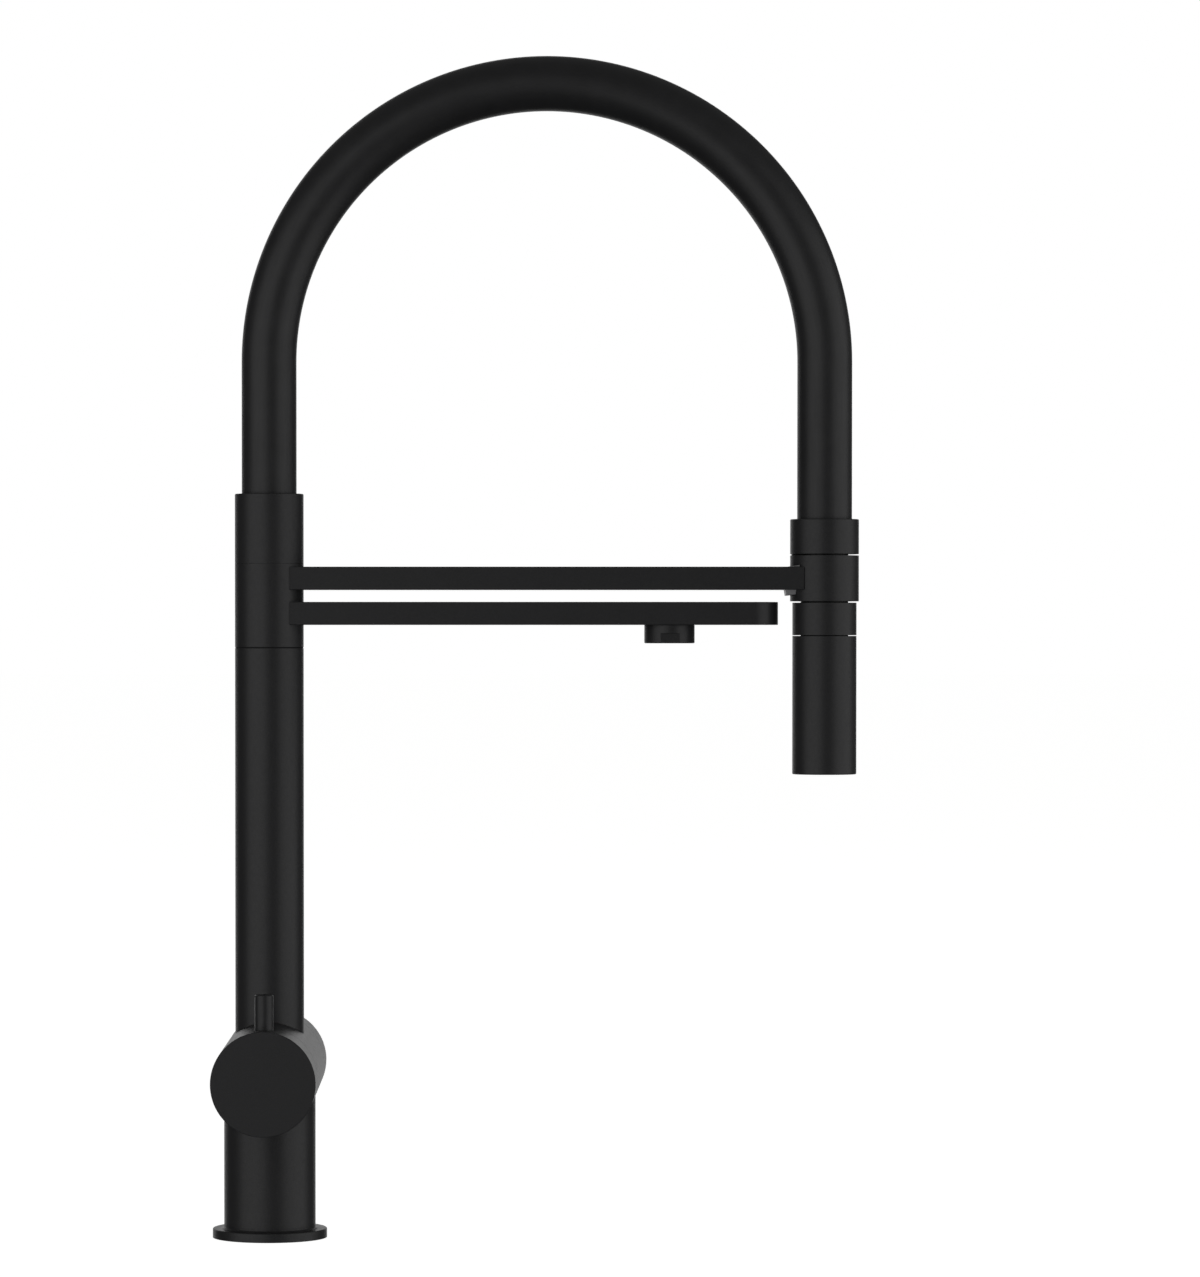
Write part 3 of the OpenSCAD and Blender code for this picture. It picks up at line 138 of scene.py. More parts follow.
@dataclass(frozen=True)
class Finish:
    """A real surface: its material, its colour and how it was made."""

    name: str
    colour: str
    roughness: float
    metallic: float = 0.0
    specular: float = 0.5
    sheen_spread: float = 0.04

    def material(self) -> bpy.types.Material:
        """Makes the finish's material at its first use and finds it again after that.

        Returns:
            The material.
        """
        found = bpy.data.materials.get(self.name)
        if found is not None:
            return found
        made = bpy.data.materials.new(self.name)
        made.use_nodes = True
        tree = made.node_tree
        tree.nodes.clear()
        shader = add_node(
            tree,
            "ShaderNodeBsdfPrincipled",
            {
                "Base Color": hex_to_linear(self.colour),
                "Roughness": self.roughness,
                "Metallic": self.metallic,
                "Specular IOR Level": self.specular,
            },
        )
        add_node(tree, "ShaderNodeOutputMaterial", {"Surface": shader.outputs["BSDF"]})
        self.dress(tree, shader)
        return made

    def dress(self, tree: bpy.types.NodeTree, shader: bpy.types.Node) -> None:
        """Adds the surface's detail. Each kind of finish has its own."""
        raise NotImplementedError

    @staticmethod
    def noise(
        tree: bpy.types.NodeTree,
        place: bpy.types.NodeSocket,
        grain: float,
        detail: float = 2.0,
        stretch: tuple[float, float, float] = (1, 1, 1),
    ) -> bpy.types.NodeSocket:
        """Adds a noise whose grain has a real size.

        Args:
            tree: The material's node tree.
            place: The coordinates, in metres.
            grain: The width of a grain, in metres.
            detail: How many finer octaves lie in it.
            stretch: The grain's length along X, Y and Z, in grains.

        Returns:
            The noise's value, from 0 to 1.
        """
        scale = [1 / (grain * s) for s in stretch]
        mapped = add_node(tree, "ShaderNodeMapping", {"Vector": place, "Scale": scale})
        made = add_node(
            tree,
            "ShaderNodeTexNoise",
            {"Vector": mapped.outputs[0], "Scale": 1.0, "Detail": detail},
        )
        return made.outputs["Fac"]

    def tint(
        self,
        tree: bpy.types.NodeTree,
        base: bpy.types.NodeSocket | tuple[float, float, float, float],
        noise: bpy.types.NodeSocket,
        share: float,
        second: str,
    ) -> bpy.types.NodeSocket:
        """Mixes a second colour into the first where a noise is high.

        Args:
            tree: The material's node tree.
            base: The first colour, linear, or the socket that gives it.
            noise: The noise's value.
            share: How much of the second colour its highest values get.
            second: The second colour as "#rrggbb".

        Returns:
            The mixed colour.
        """
        low, high = NOISE_MIDDLE
        amount = add_node(
            tree,
            "ShaderNodeMapRange",
            {"Value": noise, "From Min": low, "From Max": high, "To Max": share},
        )
        # A Mix node's inputs 6 and 7 are its two colours, and its output 2 is their mix
        mixed = add_node(
            tree,
            "ShaderNodeMix",
            {0: amount.outputs["Result"], 6: base, 7: hex_to_linear(second)},
            data_type="RGBA",
            clamp_factor=True,
        )
        return mixed.outputs[2]

    def vary_sheen(
        self, tree: bpy.types.NodeTree, shader: bpy.types.Node, noise: bpy.types.NodeSocket
    ) -> None:
        """Lets a noise move the roughness up and down by the finish's spread.

        Args:
            tree: The material's node tree.
            shader: The shader whose roughness varies.
            noise: The noise's value.
        """
        low, high = NOISE_MIDDLE
        sheen = add_node(
            tree,
            "ShaderNodeMapRange",
            {
                "Value": noise,
                "From Min": low,
                "From Max": high,
                "To Min": self.roughness - self.sheen_spread,
                "To Max": self.roughness + self.sheen_spread,
            },
        )
        tree.links.new(sheen.outputs["Result"], shader.inputs["Roughness"])


@dataclass(frozen=True)
class PowderCoat(Finish):
    """Polyester powder stoved on metal: an even matt skin with orange peel and a fine grit."""

    # Orange peel is 1 to 2 mm wide. The grit is under 0.1 mm, and is drawn coarser so that it shows
    peel: float = 1.6 * MM
    peel_height: float = 0.010 * MM
    grit: float = 0.45 * MM
    grit_height: float = 0.004 * MM
    cloud: float = 22 * MM
    cloud_share: float = 0.25
    light_grit: str = "#232324"
    # Painted highlight: a lighter colour laid on the edges, and how much of it the edges get
    painted_edge_highlight: str = "#2c2c2d"
    painted_highlight_share: float = 0.5
    edge_radius: float = 0.15 * MM
    edge_samples: int = 6
    # How far the eased and the true normal agree where the painted edge highlight sets in, and
    # where it is full
    edge_agreement: tuple[float, float] = (0.98, 0.80)
    sheen_spread: float = 0.03

    def dress(self, tree: bpy.types.NodeTree, shader: bpy.types.Node) -> None:
        """Adds peel and grit as bumps, a cloudy tone, an uneven sheen and a painted highlight on
        the edges.

        Args:
            tree: The material's node tree.
            shader: The shader that the detail goes to.
        """
        place = add_node(tree, "ShaderNodeTexCoord").outputs["Object"]
        grit = self.noise(tree, place, self.grit)
        peel = self.noise(tree, place, self.peel, detail=1.0)
        cloud = self.noise(tree, place, self.cloud, detail=3.0)
        eased = add_node(
            tree, "ShaderNodeBevel", {"Radius": self.edge_radius}, samples=self.edge_samples
        )
        sharp = add_node(tree, "ShaderNodeNewGeometry")
        agree = add_node(
            tree,
            "ShaderNodeVectorMath",
            {0: eased.outputs[0], 1: sharp.outputs["Normal"]},
            operation="DOT_PRODUCT",
        )
        edge = add_node(
            tree,
            "ShaderNodeMapRange",
            {
                "Value": agree.outputs["Value"],
                "From Min": self.edge_agreement[0],
                "From Max": self.edge_agreement[1],
                "To Max": self.painted_highlight_share,
            },
        )
        toned = self.tint(tree, hex_to_linear(self.colour), grit, 1.0, self.light_grit)
        clouded = self.tint(tree, toned, cloud, self.cloud_share, self.light_grit)
        # Painted highlight: lightens the colour on the edges, where the eased normal turns away
        # from the true one
        edge_highlighted = add_node(
            tree,
            "ShaderNodeMix",
            {0: edge.outputs["Result"], 6: clouded, 7: hex_to_linear(self.painted_edge_highlight)},
            data_type="RGBA",
            clamp_factor=True,
        )
        tree.links.new(edge_highlighted.outputs[2], shader.inputs["Base Color"])
        self.vary_sheen(tree, shader, peel)
        low = add_node(
            tree,
            "ShaderNodeBump",
            {"Height": peel, "Distance": self.peel_height, "Normal": eased.outputs[0]},
        )
        high = add_node(
            tree,
            "ShaderNodeBump",
            {"Height": grit, "Distance": self.grit_height, "Normal": low.outputs[0]},
        )
        tree.links.new(high.outputs[0], shader.inputs["Normal"])


@dataclass(frozen=True)
class ExtrudedSilicone(Finish):
    """Silicone rubber drawn through a die: soft and matt, with die lines and a dusty bloom."""

    # Die lines and skin are about 0.1 mm wide, and are drawn coarser so that they show
    line_width: float = 0.5 * MM
    line_length: float = 40.0
    bloom: float = 9 * MM
    bloom_share: float = 0.6
    dusty: str = "#222223"
    skin: float = 0.5 * MM
    skin_height: float = 0.006 * MM

    def dress(self, tree: bpy.types.NodeTree, shader: bpy.types.Node) -> None:
        """Adds die lines along the UV map, a bloom that lightens patches, and a fine skin.

        Args:
            tree: The material's node tree.
            shader: The shader that the detail goes to.
        """
        place = add_node(tree, "ShaderNodeTexCoord").outputs["UV"]
        lines = self.noise(tree, place, self.line_width, stretch=(1, self.line_length, 1))
        bloom = self.noise(tree, place, self.bloom, detail=4.0)
        skin = self.noise(tree, place, self.skin)
        dust = self.tint(tree, hex_to_linear(self.colour), bloom, self.bloom_share, self.dusty)
        tree.links.new(dust, shader.inputs["Base Color"])
        self.vary_sheen(tree, shader, lines)
        drawn = add_node(tree, "ShaderNodeBump", {"Height": lines, "Distance": self.skin_height})
        fine = add_node(
            tree,
            "ShaderNodeBump",
            {"Height": skin, "Distance": self.skin_height, "Normal": drawn.outputs[0]},
        )
        tree.links.new(fine.outputs[0], shader.inputs["Normal"])


@dataclass(frozen=True)
class MachinedMetal(Finish):
    """Bare metal turned on a lathe or drawn to size: fine tool lines round or along its axis."""

    axis: Axis = Axis.Z
    # Tool lines are about 0.1 mm apart, and are drawn coarser so that they show
    line: float = 0.25 * MM
    line_length: float = 60.0
    line_height: float = 0.006 * MM
    stain: float = 12 * MM
    stain_share: float = 0.5
    tarnish: str = "#8a6d3a"
    turned: bool = True
    sheen_spread: float = 0.08

    def dress(self, tree: bpy.types.NodeTree, shader: bpy.types.Node) -> None:
        """Adds tool lines as bump and uneven polish, and a tarnish that gathers in patches.

        Args:
            tree: The material's node tree.
            shader: The shader that the detail goes to.
        """
        place = add_node(tree, "ShaderNodeTexCoord").outputs["Object"]
        along = self.line_length
        stretch = [along if self.turned else 1.0] * 3
        stretch[self.axis.value] = 1.0 if self.turned else along
        lines = self.noise(tree, place, self.line, detail=3.0, stretch=tuple(stretch))
        stain = self.noise(tree, place, self.stain, detail=4.0)
        toned = self.tint(tree, hex_to_linear(self.colour), stain, self.stain_share, self.tarnish)
        tree.links.new(toned, shader.inputs["Base Color"])
        self.vary_sheen(tree, shader, lines)
        cut = add_node(tree, "ShaderNodeBump", {"Height": lines, "Distance": self.line_height})
        tree.links.new(cut.outputs[0], shader.inputs["Normal"])


@dataclass(frozen=True)
class Moulded(Finish):
    """A part pressed in a mould, such as rubber, acetal or ceramic, with a fine spark texture."""

    # Spark texture is under 0.1 mm wide, and is drawn coarser so that it shows
    spark: float = 0.5 * MM
    spark_height: float = 0.005 * MM
    flow: float = 7 * MM
    flow_stretch: tuple[float, float, float] = (1, 1, 3)
    flow_share: float = 0.5
    second: str = "#1d1d1d"

    def dress(self, tree: bpy.types.NodeTree, shader: bpy.types.Node) -> None:
        """Adds the mould's spark texture, faint flow marks in the tone and an uneven gloss.

        Args:
            tree: The material's node tree.
            shader: The shader that the detail goes to.
        """
        place = add_node(tree, "ShaderNodeTexCoord").outputs["Object"]
        spark = self.noise(tree, place, self.spark)
        flow = self.noise(tree, place, self.flow, detail=3.0, stretch=self.flow_stretch)
        toned = self.tint(tree, hex_to_linear(self.colour), flow, self.flow_share, self.second)
        tree.links.new(toned, shader.inputs["Base Color"])
        self.vary_sheen(tree, shader, flow)
        skin = add_node(tree, "ShaderNodeBump", {"Height": spark, "Distance": self.spark_height})
        tree.links.new(skin.outputs[0], shader.inputs["Normal"])


# Matt black powder coat: very dark grey, with a soft broad highlight and no mirror image
COAT = PowderCoat("matt_black_powder_coat", "#1a1a1b", 0.42, specular=0.28)
# Black silicone of the hose: as dark as the coated metal, with a slightly softer sheen
SILICONE = ExtrudedSilicone("matt_black_silicone", "#1a1a1b", 0.44, specular=0.31)
# Turned brass, upright: a warm yellow shine broken by tool lines, on the inlet block, the spindle
# and the hose fittings
BRASS = MachinedMetal("turned_brass_upright", "#b8955a", 0.30, metallic=1.0)
# Turned brass along the barrel: the same shine, on the nut, the stems and the filter valve
BRASS_ACROSS = MachinedMetal("turned_brass_level", "#b8955a", 0.30, metallic=1.0, axis=Axis.Y)
# Drawn stainless steel of the water tubes: a cool grey shine, streaked by drawing lines
STEEL = MachinedMetal(
    "drawn_stainless_steel", "#b9bcc0", 0.28, metallic=1.0, tarnish="#8f9295", turned=False
)
# Spring steel of the clips and the gooseneck's strip: a shade bluer and smoother
SPRING_STEEL = MachinedMetal(
    "rolled_spring_steel",
    "#a9adb3",
    0.24,
    metallic=1.0,
    tarnish="#83878c",
    turned=False,
    line=0.35 * MM,
)
# Blackened set screws: dark oxide with a dull shine
BLACK_OXIDE = MachinedMetal(
    "black_oxide_steel", "#3a3a3c", 0.38, metallic=1.0, tarnish="#2a2725", line=0.3 * MM
)
# Satin nickel plate of the magnet: mid grey with a blurred shine
NICKEL = MachinedMetal(
    "satin_nickel_plate",
    "#969698",
    0.50,
    metallic=1.0,
    tarnish="#848382",
    line=0.3 * MM,
    line_length=12.0,
)
# Black rubber of the seals and the nozzles: dull, with a grey bloom
RUBBER = Moulded("moulded_seal_rubber", "#1b1b1b", 0.62, specular=0.4, second="#262626")
# Carbon-filled PTFE of the slip washer: near black, and dull as graphite
PTFE = Moulded("moulded_carbon_filled_ptfe", "#0b0b0b", 0.7, specular=0.2, second="#101010")
# White acetal of the guide rings and the knobs' slide rings: waxy and slightly warm
ACETAL = Moulded("moulded_white_acetal", "#d8d5cd", 0.38, second="#c9c6bd")
# Alumina ceramic, lapped flat: ivory with a soft gloss
CERAMIC = Moulded("lapped_alumina_ceramic", "#e2ded2", 0.22, second="#d6d2c4", spark=0.3 * MM)
# Grey plastic of the cartridge, the aerator insert and the wand's insides: half matt, with faint
# flow marks
GREY_PLASTIC = Moulded("moulded_grey_plastic", "#6a6e72", 0.45, second="#5f6367")
# Pale polyethylene of the inner water hose: waxy, and faintly cloudy
HOSE_LINER = Moulded("extruded_polyethylene", "#8d9194", 0.40, second="#83878a")


@dataclass
class SubAssembly:
    """Pieces that are fitted together and dressed together."""

    finishes: dict[str, Finish] = field(default_factory=dict)

    def dress(self) -> None:
        """Gives each model node of the sub-assembly its finish."""
        for name, finish in self.finishes.items():
            mesh = frame["nodes"][name].data
            mesh.materials.clear()
            mesh.materials.append(finish.material())
            LOG.info("%s is finished in %s", name, finish.name)

    def build(self) -> list[bpy.types.Object]:
        """Makes the pieces that the model's nodes leave out and returns them."""
        return []


def bake_piece(made: bpy.types.Object, name: str, body: str | None) -> bpy.types.Object:
    """Turns an object with live modifiers into a plain mesh that stays in place.

    Args:
        made: The object whose modifiers are evaluated. It is removed.
        name: The finished piece's name.
        body: The body that it rides on, or None to leave it on no body.

    Returns:
        The finished piece.
    """
    bpy.context.view_layer.update()
    evaluated = made.evaluated_get(bpy.context.evaluated_depsgraph_get())
    mesh = bpy.data.meshes.new_from_object(evaluated)
    bpy.data.objects.remove(made)
    mesh.name = name
    piece = new_object(name, mesh)
    if body is not None:
        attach(piece, body)
    LOG.info("%s has %d faces", name, len(mesh.polygons))
    return piece


def add_modifier(
    piece: bpy.types.Object, tree: bpy.types.NodeTree, values: dict[str, object]
) -> None:
    """Puts a geometry tree on an object and sets its named inputs.

    Args:
        piece: The object that gets the tree.
        tree: The geometry node tree.
        values: The inputs' names and values.
    """
    modifier = piece.modifiers.new(tree.name, "NODES")
    modifier.node_group = tree
    for item in tree.interface.items_tree:
        if item.item_type == "SOCKET" and item.in_out == "INPUT" and item.name in values:
            modifier[item.identifier] = values[item.name]


def new_geometry_tree(
    name: str, sockets: dict[str, str]
) -> tuple[bpy.types.NodeTree, bpy.types.Node]:
    """Starts a geometry tree with an input and an output of geometry.

    Args:
        name: The tree's name.
        sockets: The further inputs' names and socket types.

    Returns:
        The tree and its group input node.
    """
    tree = bpy.data.node_groups.new(name, "GeometryNodeTree")
    tree.interface.new_socket("Geometry", in_out="INPUT", socket_type="NodeSocketGeometry")
    for label, kind in sockets.items():
        tree.interface.new_socket(label, in_out="INPUT", socket_type=kind)
    tree.interface.new_socket("Geometry", in_out="OUTPUT", socket_type="NodeSocketGeometry")
    return tree, tree.nodes.new("NodeGroupInput")


def end_geometry_tree(
    tree: bpy.types.NodeTree, geometry: bpy.types.NodeSocket, material: bpy.types.NodeSocket
) -> None:
    """Ends a geometry tree in realized instances with their material set.

    Args:
        tree: The geometry node tree.
        geometry: What it has made.
        material: The material, from the tree's inputs.
    """
    real = add_node(tree, "GeometryNodeRealizeInstances", {"Geometry": geometry})
    dressed = add_node(
        tree, "GeometryNodeSetMaterial", {"Geometry": real.outputs[0], "Material": material}
    )
    add_node(tree, "NodeGroupOutput", {"Geometry": dressed.outputs[0]})


@dataclass
class DeckBase(SubAssembly):
    """The flange, the lower body, the barrel on it, and the threads that open on the underside."""

    finishes: dict[str, Finish] = field(
        default_factory=lambda: {
            "deck_seal": RUBBER,
            "base_flange": COAT,
            "inlet_block": BRASS,
            "lower_body": COAT,
            "valve_body": COAT,
            "knob_slide_rings": ACETAL,
        }
    )
    stud_pitch: float = 1.25 * MM
    port_pitch: float = 1.0 * MM
    ridge: float = 0.35 * MM
    ridge_sides: int = 4
    steps_per_turn: int = 24

    def thread_tree(self) -> bpy.types.NodeTree:
        """Makes the tree that winds a thread's ridge at every point of a mesh.

        Returns:
            The geometry node tree.
        """
        tree, inputs = new_geometry_tree(
            "thread_ridges",
            {
                "Radius": "NodeSocketFloat",
                "Pitch": "NodeSocketFloat",
                "Turns": "NodeSocketFloat",
                "Ridge": "NodeSocketFloat",
                "Steps": "NodeSocketInt",
                "Material": "NodeSocketMaterial",
            },
        )
        height = add_node(
            tree,
            "ShaderNodeMath",
            {0: inputs.outputs["Pitch"], 1: inputs.outputs["Turns"]},
            operation="MULTIPLY",
        )
        helix = add_node(
            tree,
            "GeometryNodeCurveSpiral",
            {
                "Resolution": inputs.outputs["Steps"],
                "Rotations": inputs.outputs["Turns"],
                "Start Radius": inputs.outputs["Radius"],
                "End Radius": inputs.outputs["Radius"],
                "Height": height.outputs[0],
            },
        )
        section = add_node(
            tree,
            "GeometryNodeCurvePrimitiveCircle",
            {"Resolution": self.ridge_sides, "Radius": inputs.outputs["Ridge"]},
        )
        ridge = add_node(
            tree,
            "GeometryNodeCurveToMesh",
            {"Curve": helix.outputs[0], "Profile Curve": section.outputs[0], "Fill Caps": True},
        )
        placed = add_node(
            tree,
            "GeometryNodeInstanceOnPoints",
            {"Points": inputs.outputs["Geometry"], "Instance": ridge.outputs[0]},
        )
        end_geometry_tree(tree, placed.outputs[0], inputs.outputs["Material"])
        return tree

    def build(self) -> list[bpy.types.Object]:
        """Winds the threads of the fixing stud's hole and of the three hose ports.

        Returns:
            The two pieces of ridges.
        """
        tree = self.thread_tree()
        holes = [m for m in frame["record"]["mounts"] if m["kind"] == "threaded_hole"]
        sizes = sorted({m["dims"]["r_mm"] for m in holes})
        pitches = (self.stud_pitch, self.port_pitch)
        lead_in = Vector((0, 0, 2 * self.ridge))
        made = []
        for radius, pitch, name in zip(sizes, pitches, ("stud_thread", "port_threads")):
            same = [m for m in holes if m["dims"]["r_mm"] == radius]
            mesh = bpy.data.meshes.new(name)
            mesh.from_pydata([Vector(m["pos_m"]) + lead_in for m in same], [], [])
            seed = new_object(name + "_places", mesh)
            turns = math.floor(same[0]["dims"]["length_mm"] * MM / pitch) - 1
            add_modifier(
                seed,
                tree,
                {
                    "Radius": radius * MM,
                    "Pitch": pitch,
                    "Turns": float(turns),
                    "Ridge": self.ridge,
                    "Steps": self.steps_per_turn,
                    "Material": BRASS.material(),
                },
            )
            piece = bake_piece(seed, name, "base")
            made.append(piece)
        return made


@dataclass
class Controls(SubAssembly):
    """Both knobs with their levers, and the cartridge and the valve that they turn."""

    finishes: dict[str, Finish] = field(
        default_factory=lambda: {
            "mixer_knob": COAT,
            "mixer_lever": COAT,
            "mixer_grub_screw": BLACK_OXIDE,
            "mixer_stem": BRASS_ACROSS,
            "mixer_turning_disc": CERAMIC,
            "mixer_fixed_disc": CERAMIC,
            "mixer_cartridge": GREY_PLASTIC,
            "mixer_nut": BRASS_ACROSS,
            "cartridge_seals": RUBBER,
            "filter_knob": COAT,
            "filter_lever": COAT,
            "filter_grub_screw": BLACK_OXIDE,
            "filter_stem": BRASS_ACROSS,
            "filter_turning_disc": CERAMIC,
            "filter_fixed_disc": CERAMIC,
            "filter_valve": BRASS_ACROSS,
            "filter_valve_seal": RUBBER,
        }
    )


@dataclass
class Riser(SubAssembly):
    """The column with its water tubes, the spindle that the arms turn on and the slip washer."""

    finishes: dict[str, Finish] = field(
        default_factory=lambda: {
            "riser_column": COAT,
            "mixed_water_tube": STEEL,
            "filtered_water_tube": STEEL,
            "swivel_spindle": BRASS,
            "spindle_seals": RUBBER,
            "spindle_guides": ACETAL,
            "spindle_clip": SPRING_STEEL,
        }
    )
    # How far the washer stands inside the column's surface and under the sleeve
    washer_inset: float = 0.2 * MM
    washer_play: float = 0.02 * MM
    # From the column's surface to the washer's bore
    washer_width: float = 4.4 * MM
    washer_corner: float = 0.05 * MM
    washer_steps: int = 192

    def build(self) -> list[bpy.types.Object]:
        """Turns the slip washer, which fills the seam under the sleeve almost to the surface.

        Returns:
            The washer.
        """
        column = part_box("riser_column")[1]
        outer = column.y - self.washer_inset
        inner = column.y - self.washer_width
        low, high = column.z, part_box("arm_sleeve")[0].z - self.washer_play
        cut = self.washer_corner
        profile = (
            (inner, low),
            (outer - cut, low),
            (outer, low + cut),
            (outer, high - cut),
            (outer - cut, high),
            (inner, high),
        )
        count, steps = len(profile), self.washer_steps
        turns = [2 * math.pi * k / steps for k in range(steps)]
        points = [(r * math.cos(t), r * math.sin(t), z) for t in turns for r, z in profile]
        corners = ((0, 0), (1, 0), (1, 1), (0, 1))
        faces = [
            [(k + a) % steps * count + (j + b) % count for a, b in corners]
            for k in range(steps)
            for j in range(count)
        ]
        mesh = bpy.data.meshes.new("slip_ring")
        mesh.from_pydata(points, [], faces)
        mesh.materials.append(PTFE.material())
        piece = new_object("slip_ring", mesh)
        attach(piece, "base")
        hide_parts("slip_washer")
        return [piece]


@dataclass
class SwivelArms(SubAssembly):
    """The sleeve with the dock arm and its magnet, the filter spout and its aerator."""

    finishes: dict[str, Finish] = field(
        default_factory=lambda: {
            "arm_sleeve": COAT,
            "dock_arm": COAT,
            "filter_spout": COAT,
            "aerator_housing": COAT,
            "aerator_insert": GREY_PLASTIC,
            "aerator_seal": RUBBER,
            "hose_socket": COAT,
            "hose_fitting": BRASS,
        }
    )
    magnet_thick: float = 7.5 * MM
    magnet_height: float = 12.5 * MM
    magnet_top: float = 22 * MM
    magnet_foot: float = 16 * MM
    # The lean of its top away from the wand, in degrees
    magnet_lean: float = 8.0
    # How far its middle lies from the wand's axis and below the arm's middle
    magnet_back: float = 14.15 * MM
    magnet_drop: float = 0.92 * MM
    magnet_edge: float = 0.25 * MM
    magnet_edge_steps: int = 3
    # The gap between its hollow and the dock ring
    magnet_play: float = 0.3 * MM
    hollow_sides: int = 256

    def magnet_block(self, axis: float, middle: float) -> bpy.types.Object:
        """Makes the magnet's leaning block, which narrows to its foot.

        Args:
            axis: Where the wand's axis stands along the arm.
            middle: The height of the arm's middle.

        Returns:
            The block.
        """
        place = Matrix.Translation((axis - self.magnet_back, 0, middle - self.magnet_drop))
        place @= Matrix.Rotation(-math.radians(self.magnet_lean), 4, "Y")
        block = bmesh.new()
        bmesh.ops.create_cube(block, size=1.0)
        for vert in block.verts:
            width = self.magnet_top if vert.co.z > 0 else self.magnet_foot
            vert.co = place @ Vector(
                (vert.co.x * self.magnet_thick, vert.co.y * width, vert.co.z * self.magnet_height)
            )
        mesh = bpy.data.meshes.new("tapered_magnet_block")
        block.to_mesh(mesh)
        block.free()
        mesh.materials.append(NICKEL.material())
        return new_object("tapered_magnet_block", mesh)

    def dock_hollow(self, axis: float, middle: float) -> bpy.types.Object:
        """Makes the cylinder that hollows the magnet for the dock ring.

        Args:
            axis: Where the wand's axis stands along the arm.
            middle: The height of the arm's middle.

        Returns:
            The cylinder.
        """
        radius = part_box("dock_ring")[1].y + self.magnet_play
        hollow = bmesh.new()
        bmesh.ops.create_cone(
            hollow,
            cap_ends=True,
            segments=self.hollow_sides,
            radius1=radius,
            radius2=radius,
            depth=2 * self.magnet_height,
            matrix=Matrix.Translation((axis, 0, middle)),
        )
        mesh = bpy.data.meshes.new("dock_hollow")
        hollow.to_mesh(mesh)
        hollow.free()
        return new_object("dock_hollow", mesh)

    def build(self) -> list[bpy.types.Object]:
        """Makes the magnet, rounded at its edges and hollowed for the dock ring.

        Returns:
            The magnet.
        """
        arm_low, arm_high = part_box("dock_arm")
        ring_low, ring_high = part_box("dock_ring")
        axis = (ring_low.x + ring_high.x) / 2
        middle = (arm_low.z + arm_high.z) / 2
        made = self.magnet_block(axis, middle)
        cutter = self.dock_hollow(axis, middle)
        edges = made.modifiers.new("edges", "BEVEL")
        edges.width = self.magnet_edge
        edges.segments = self.magnet_edge_steps
        cut = made.modifiers.new("hollow", "BOOLEAN")
        cut.object = cutter
        piece = bake_piece(made, "tapered_magnet", "swivel_arm")
        bpy.data.objects.remove(cutter)
        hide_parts("dock_magnet")
        return [piece]


@dataclass
class SprayWand(SubAssembly):
    """The collar, the dock ring, the selector and the spray head."""

    finishes: dict[str, Finish] = field(
        default_factory=lambda: {
            "hose_collar": COAT,
            "wand_fitting": BRASS,
            "dock_ring": COAT,
            "wand_neck": COAT,
            "neck_seals": RUBBER,
            "neck_clip": SPRING_STEEL,
            "selector_ring": COAT,
            "spray_head": COAT,
            "diverter": GREY_PLASTIC,
            "spray_face": GREY_PLASTIC,
            "spray_nozzles": RUBBER,
            "stream_outlet": GREY_PLASTIC,
        }
    )


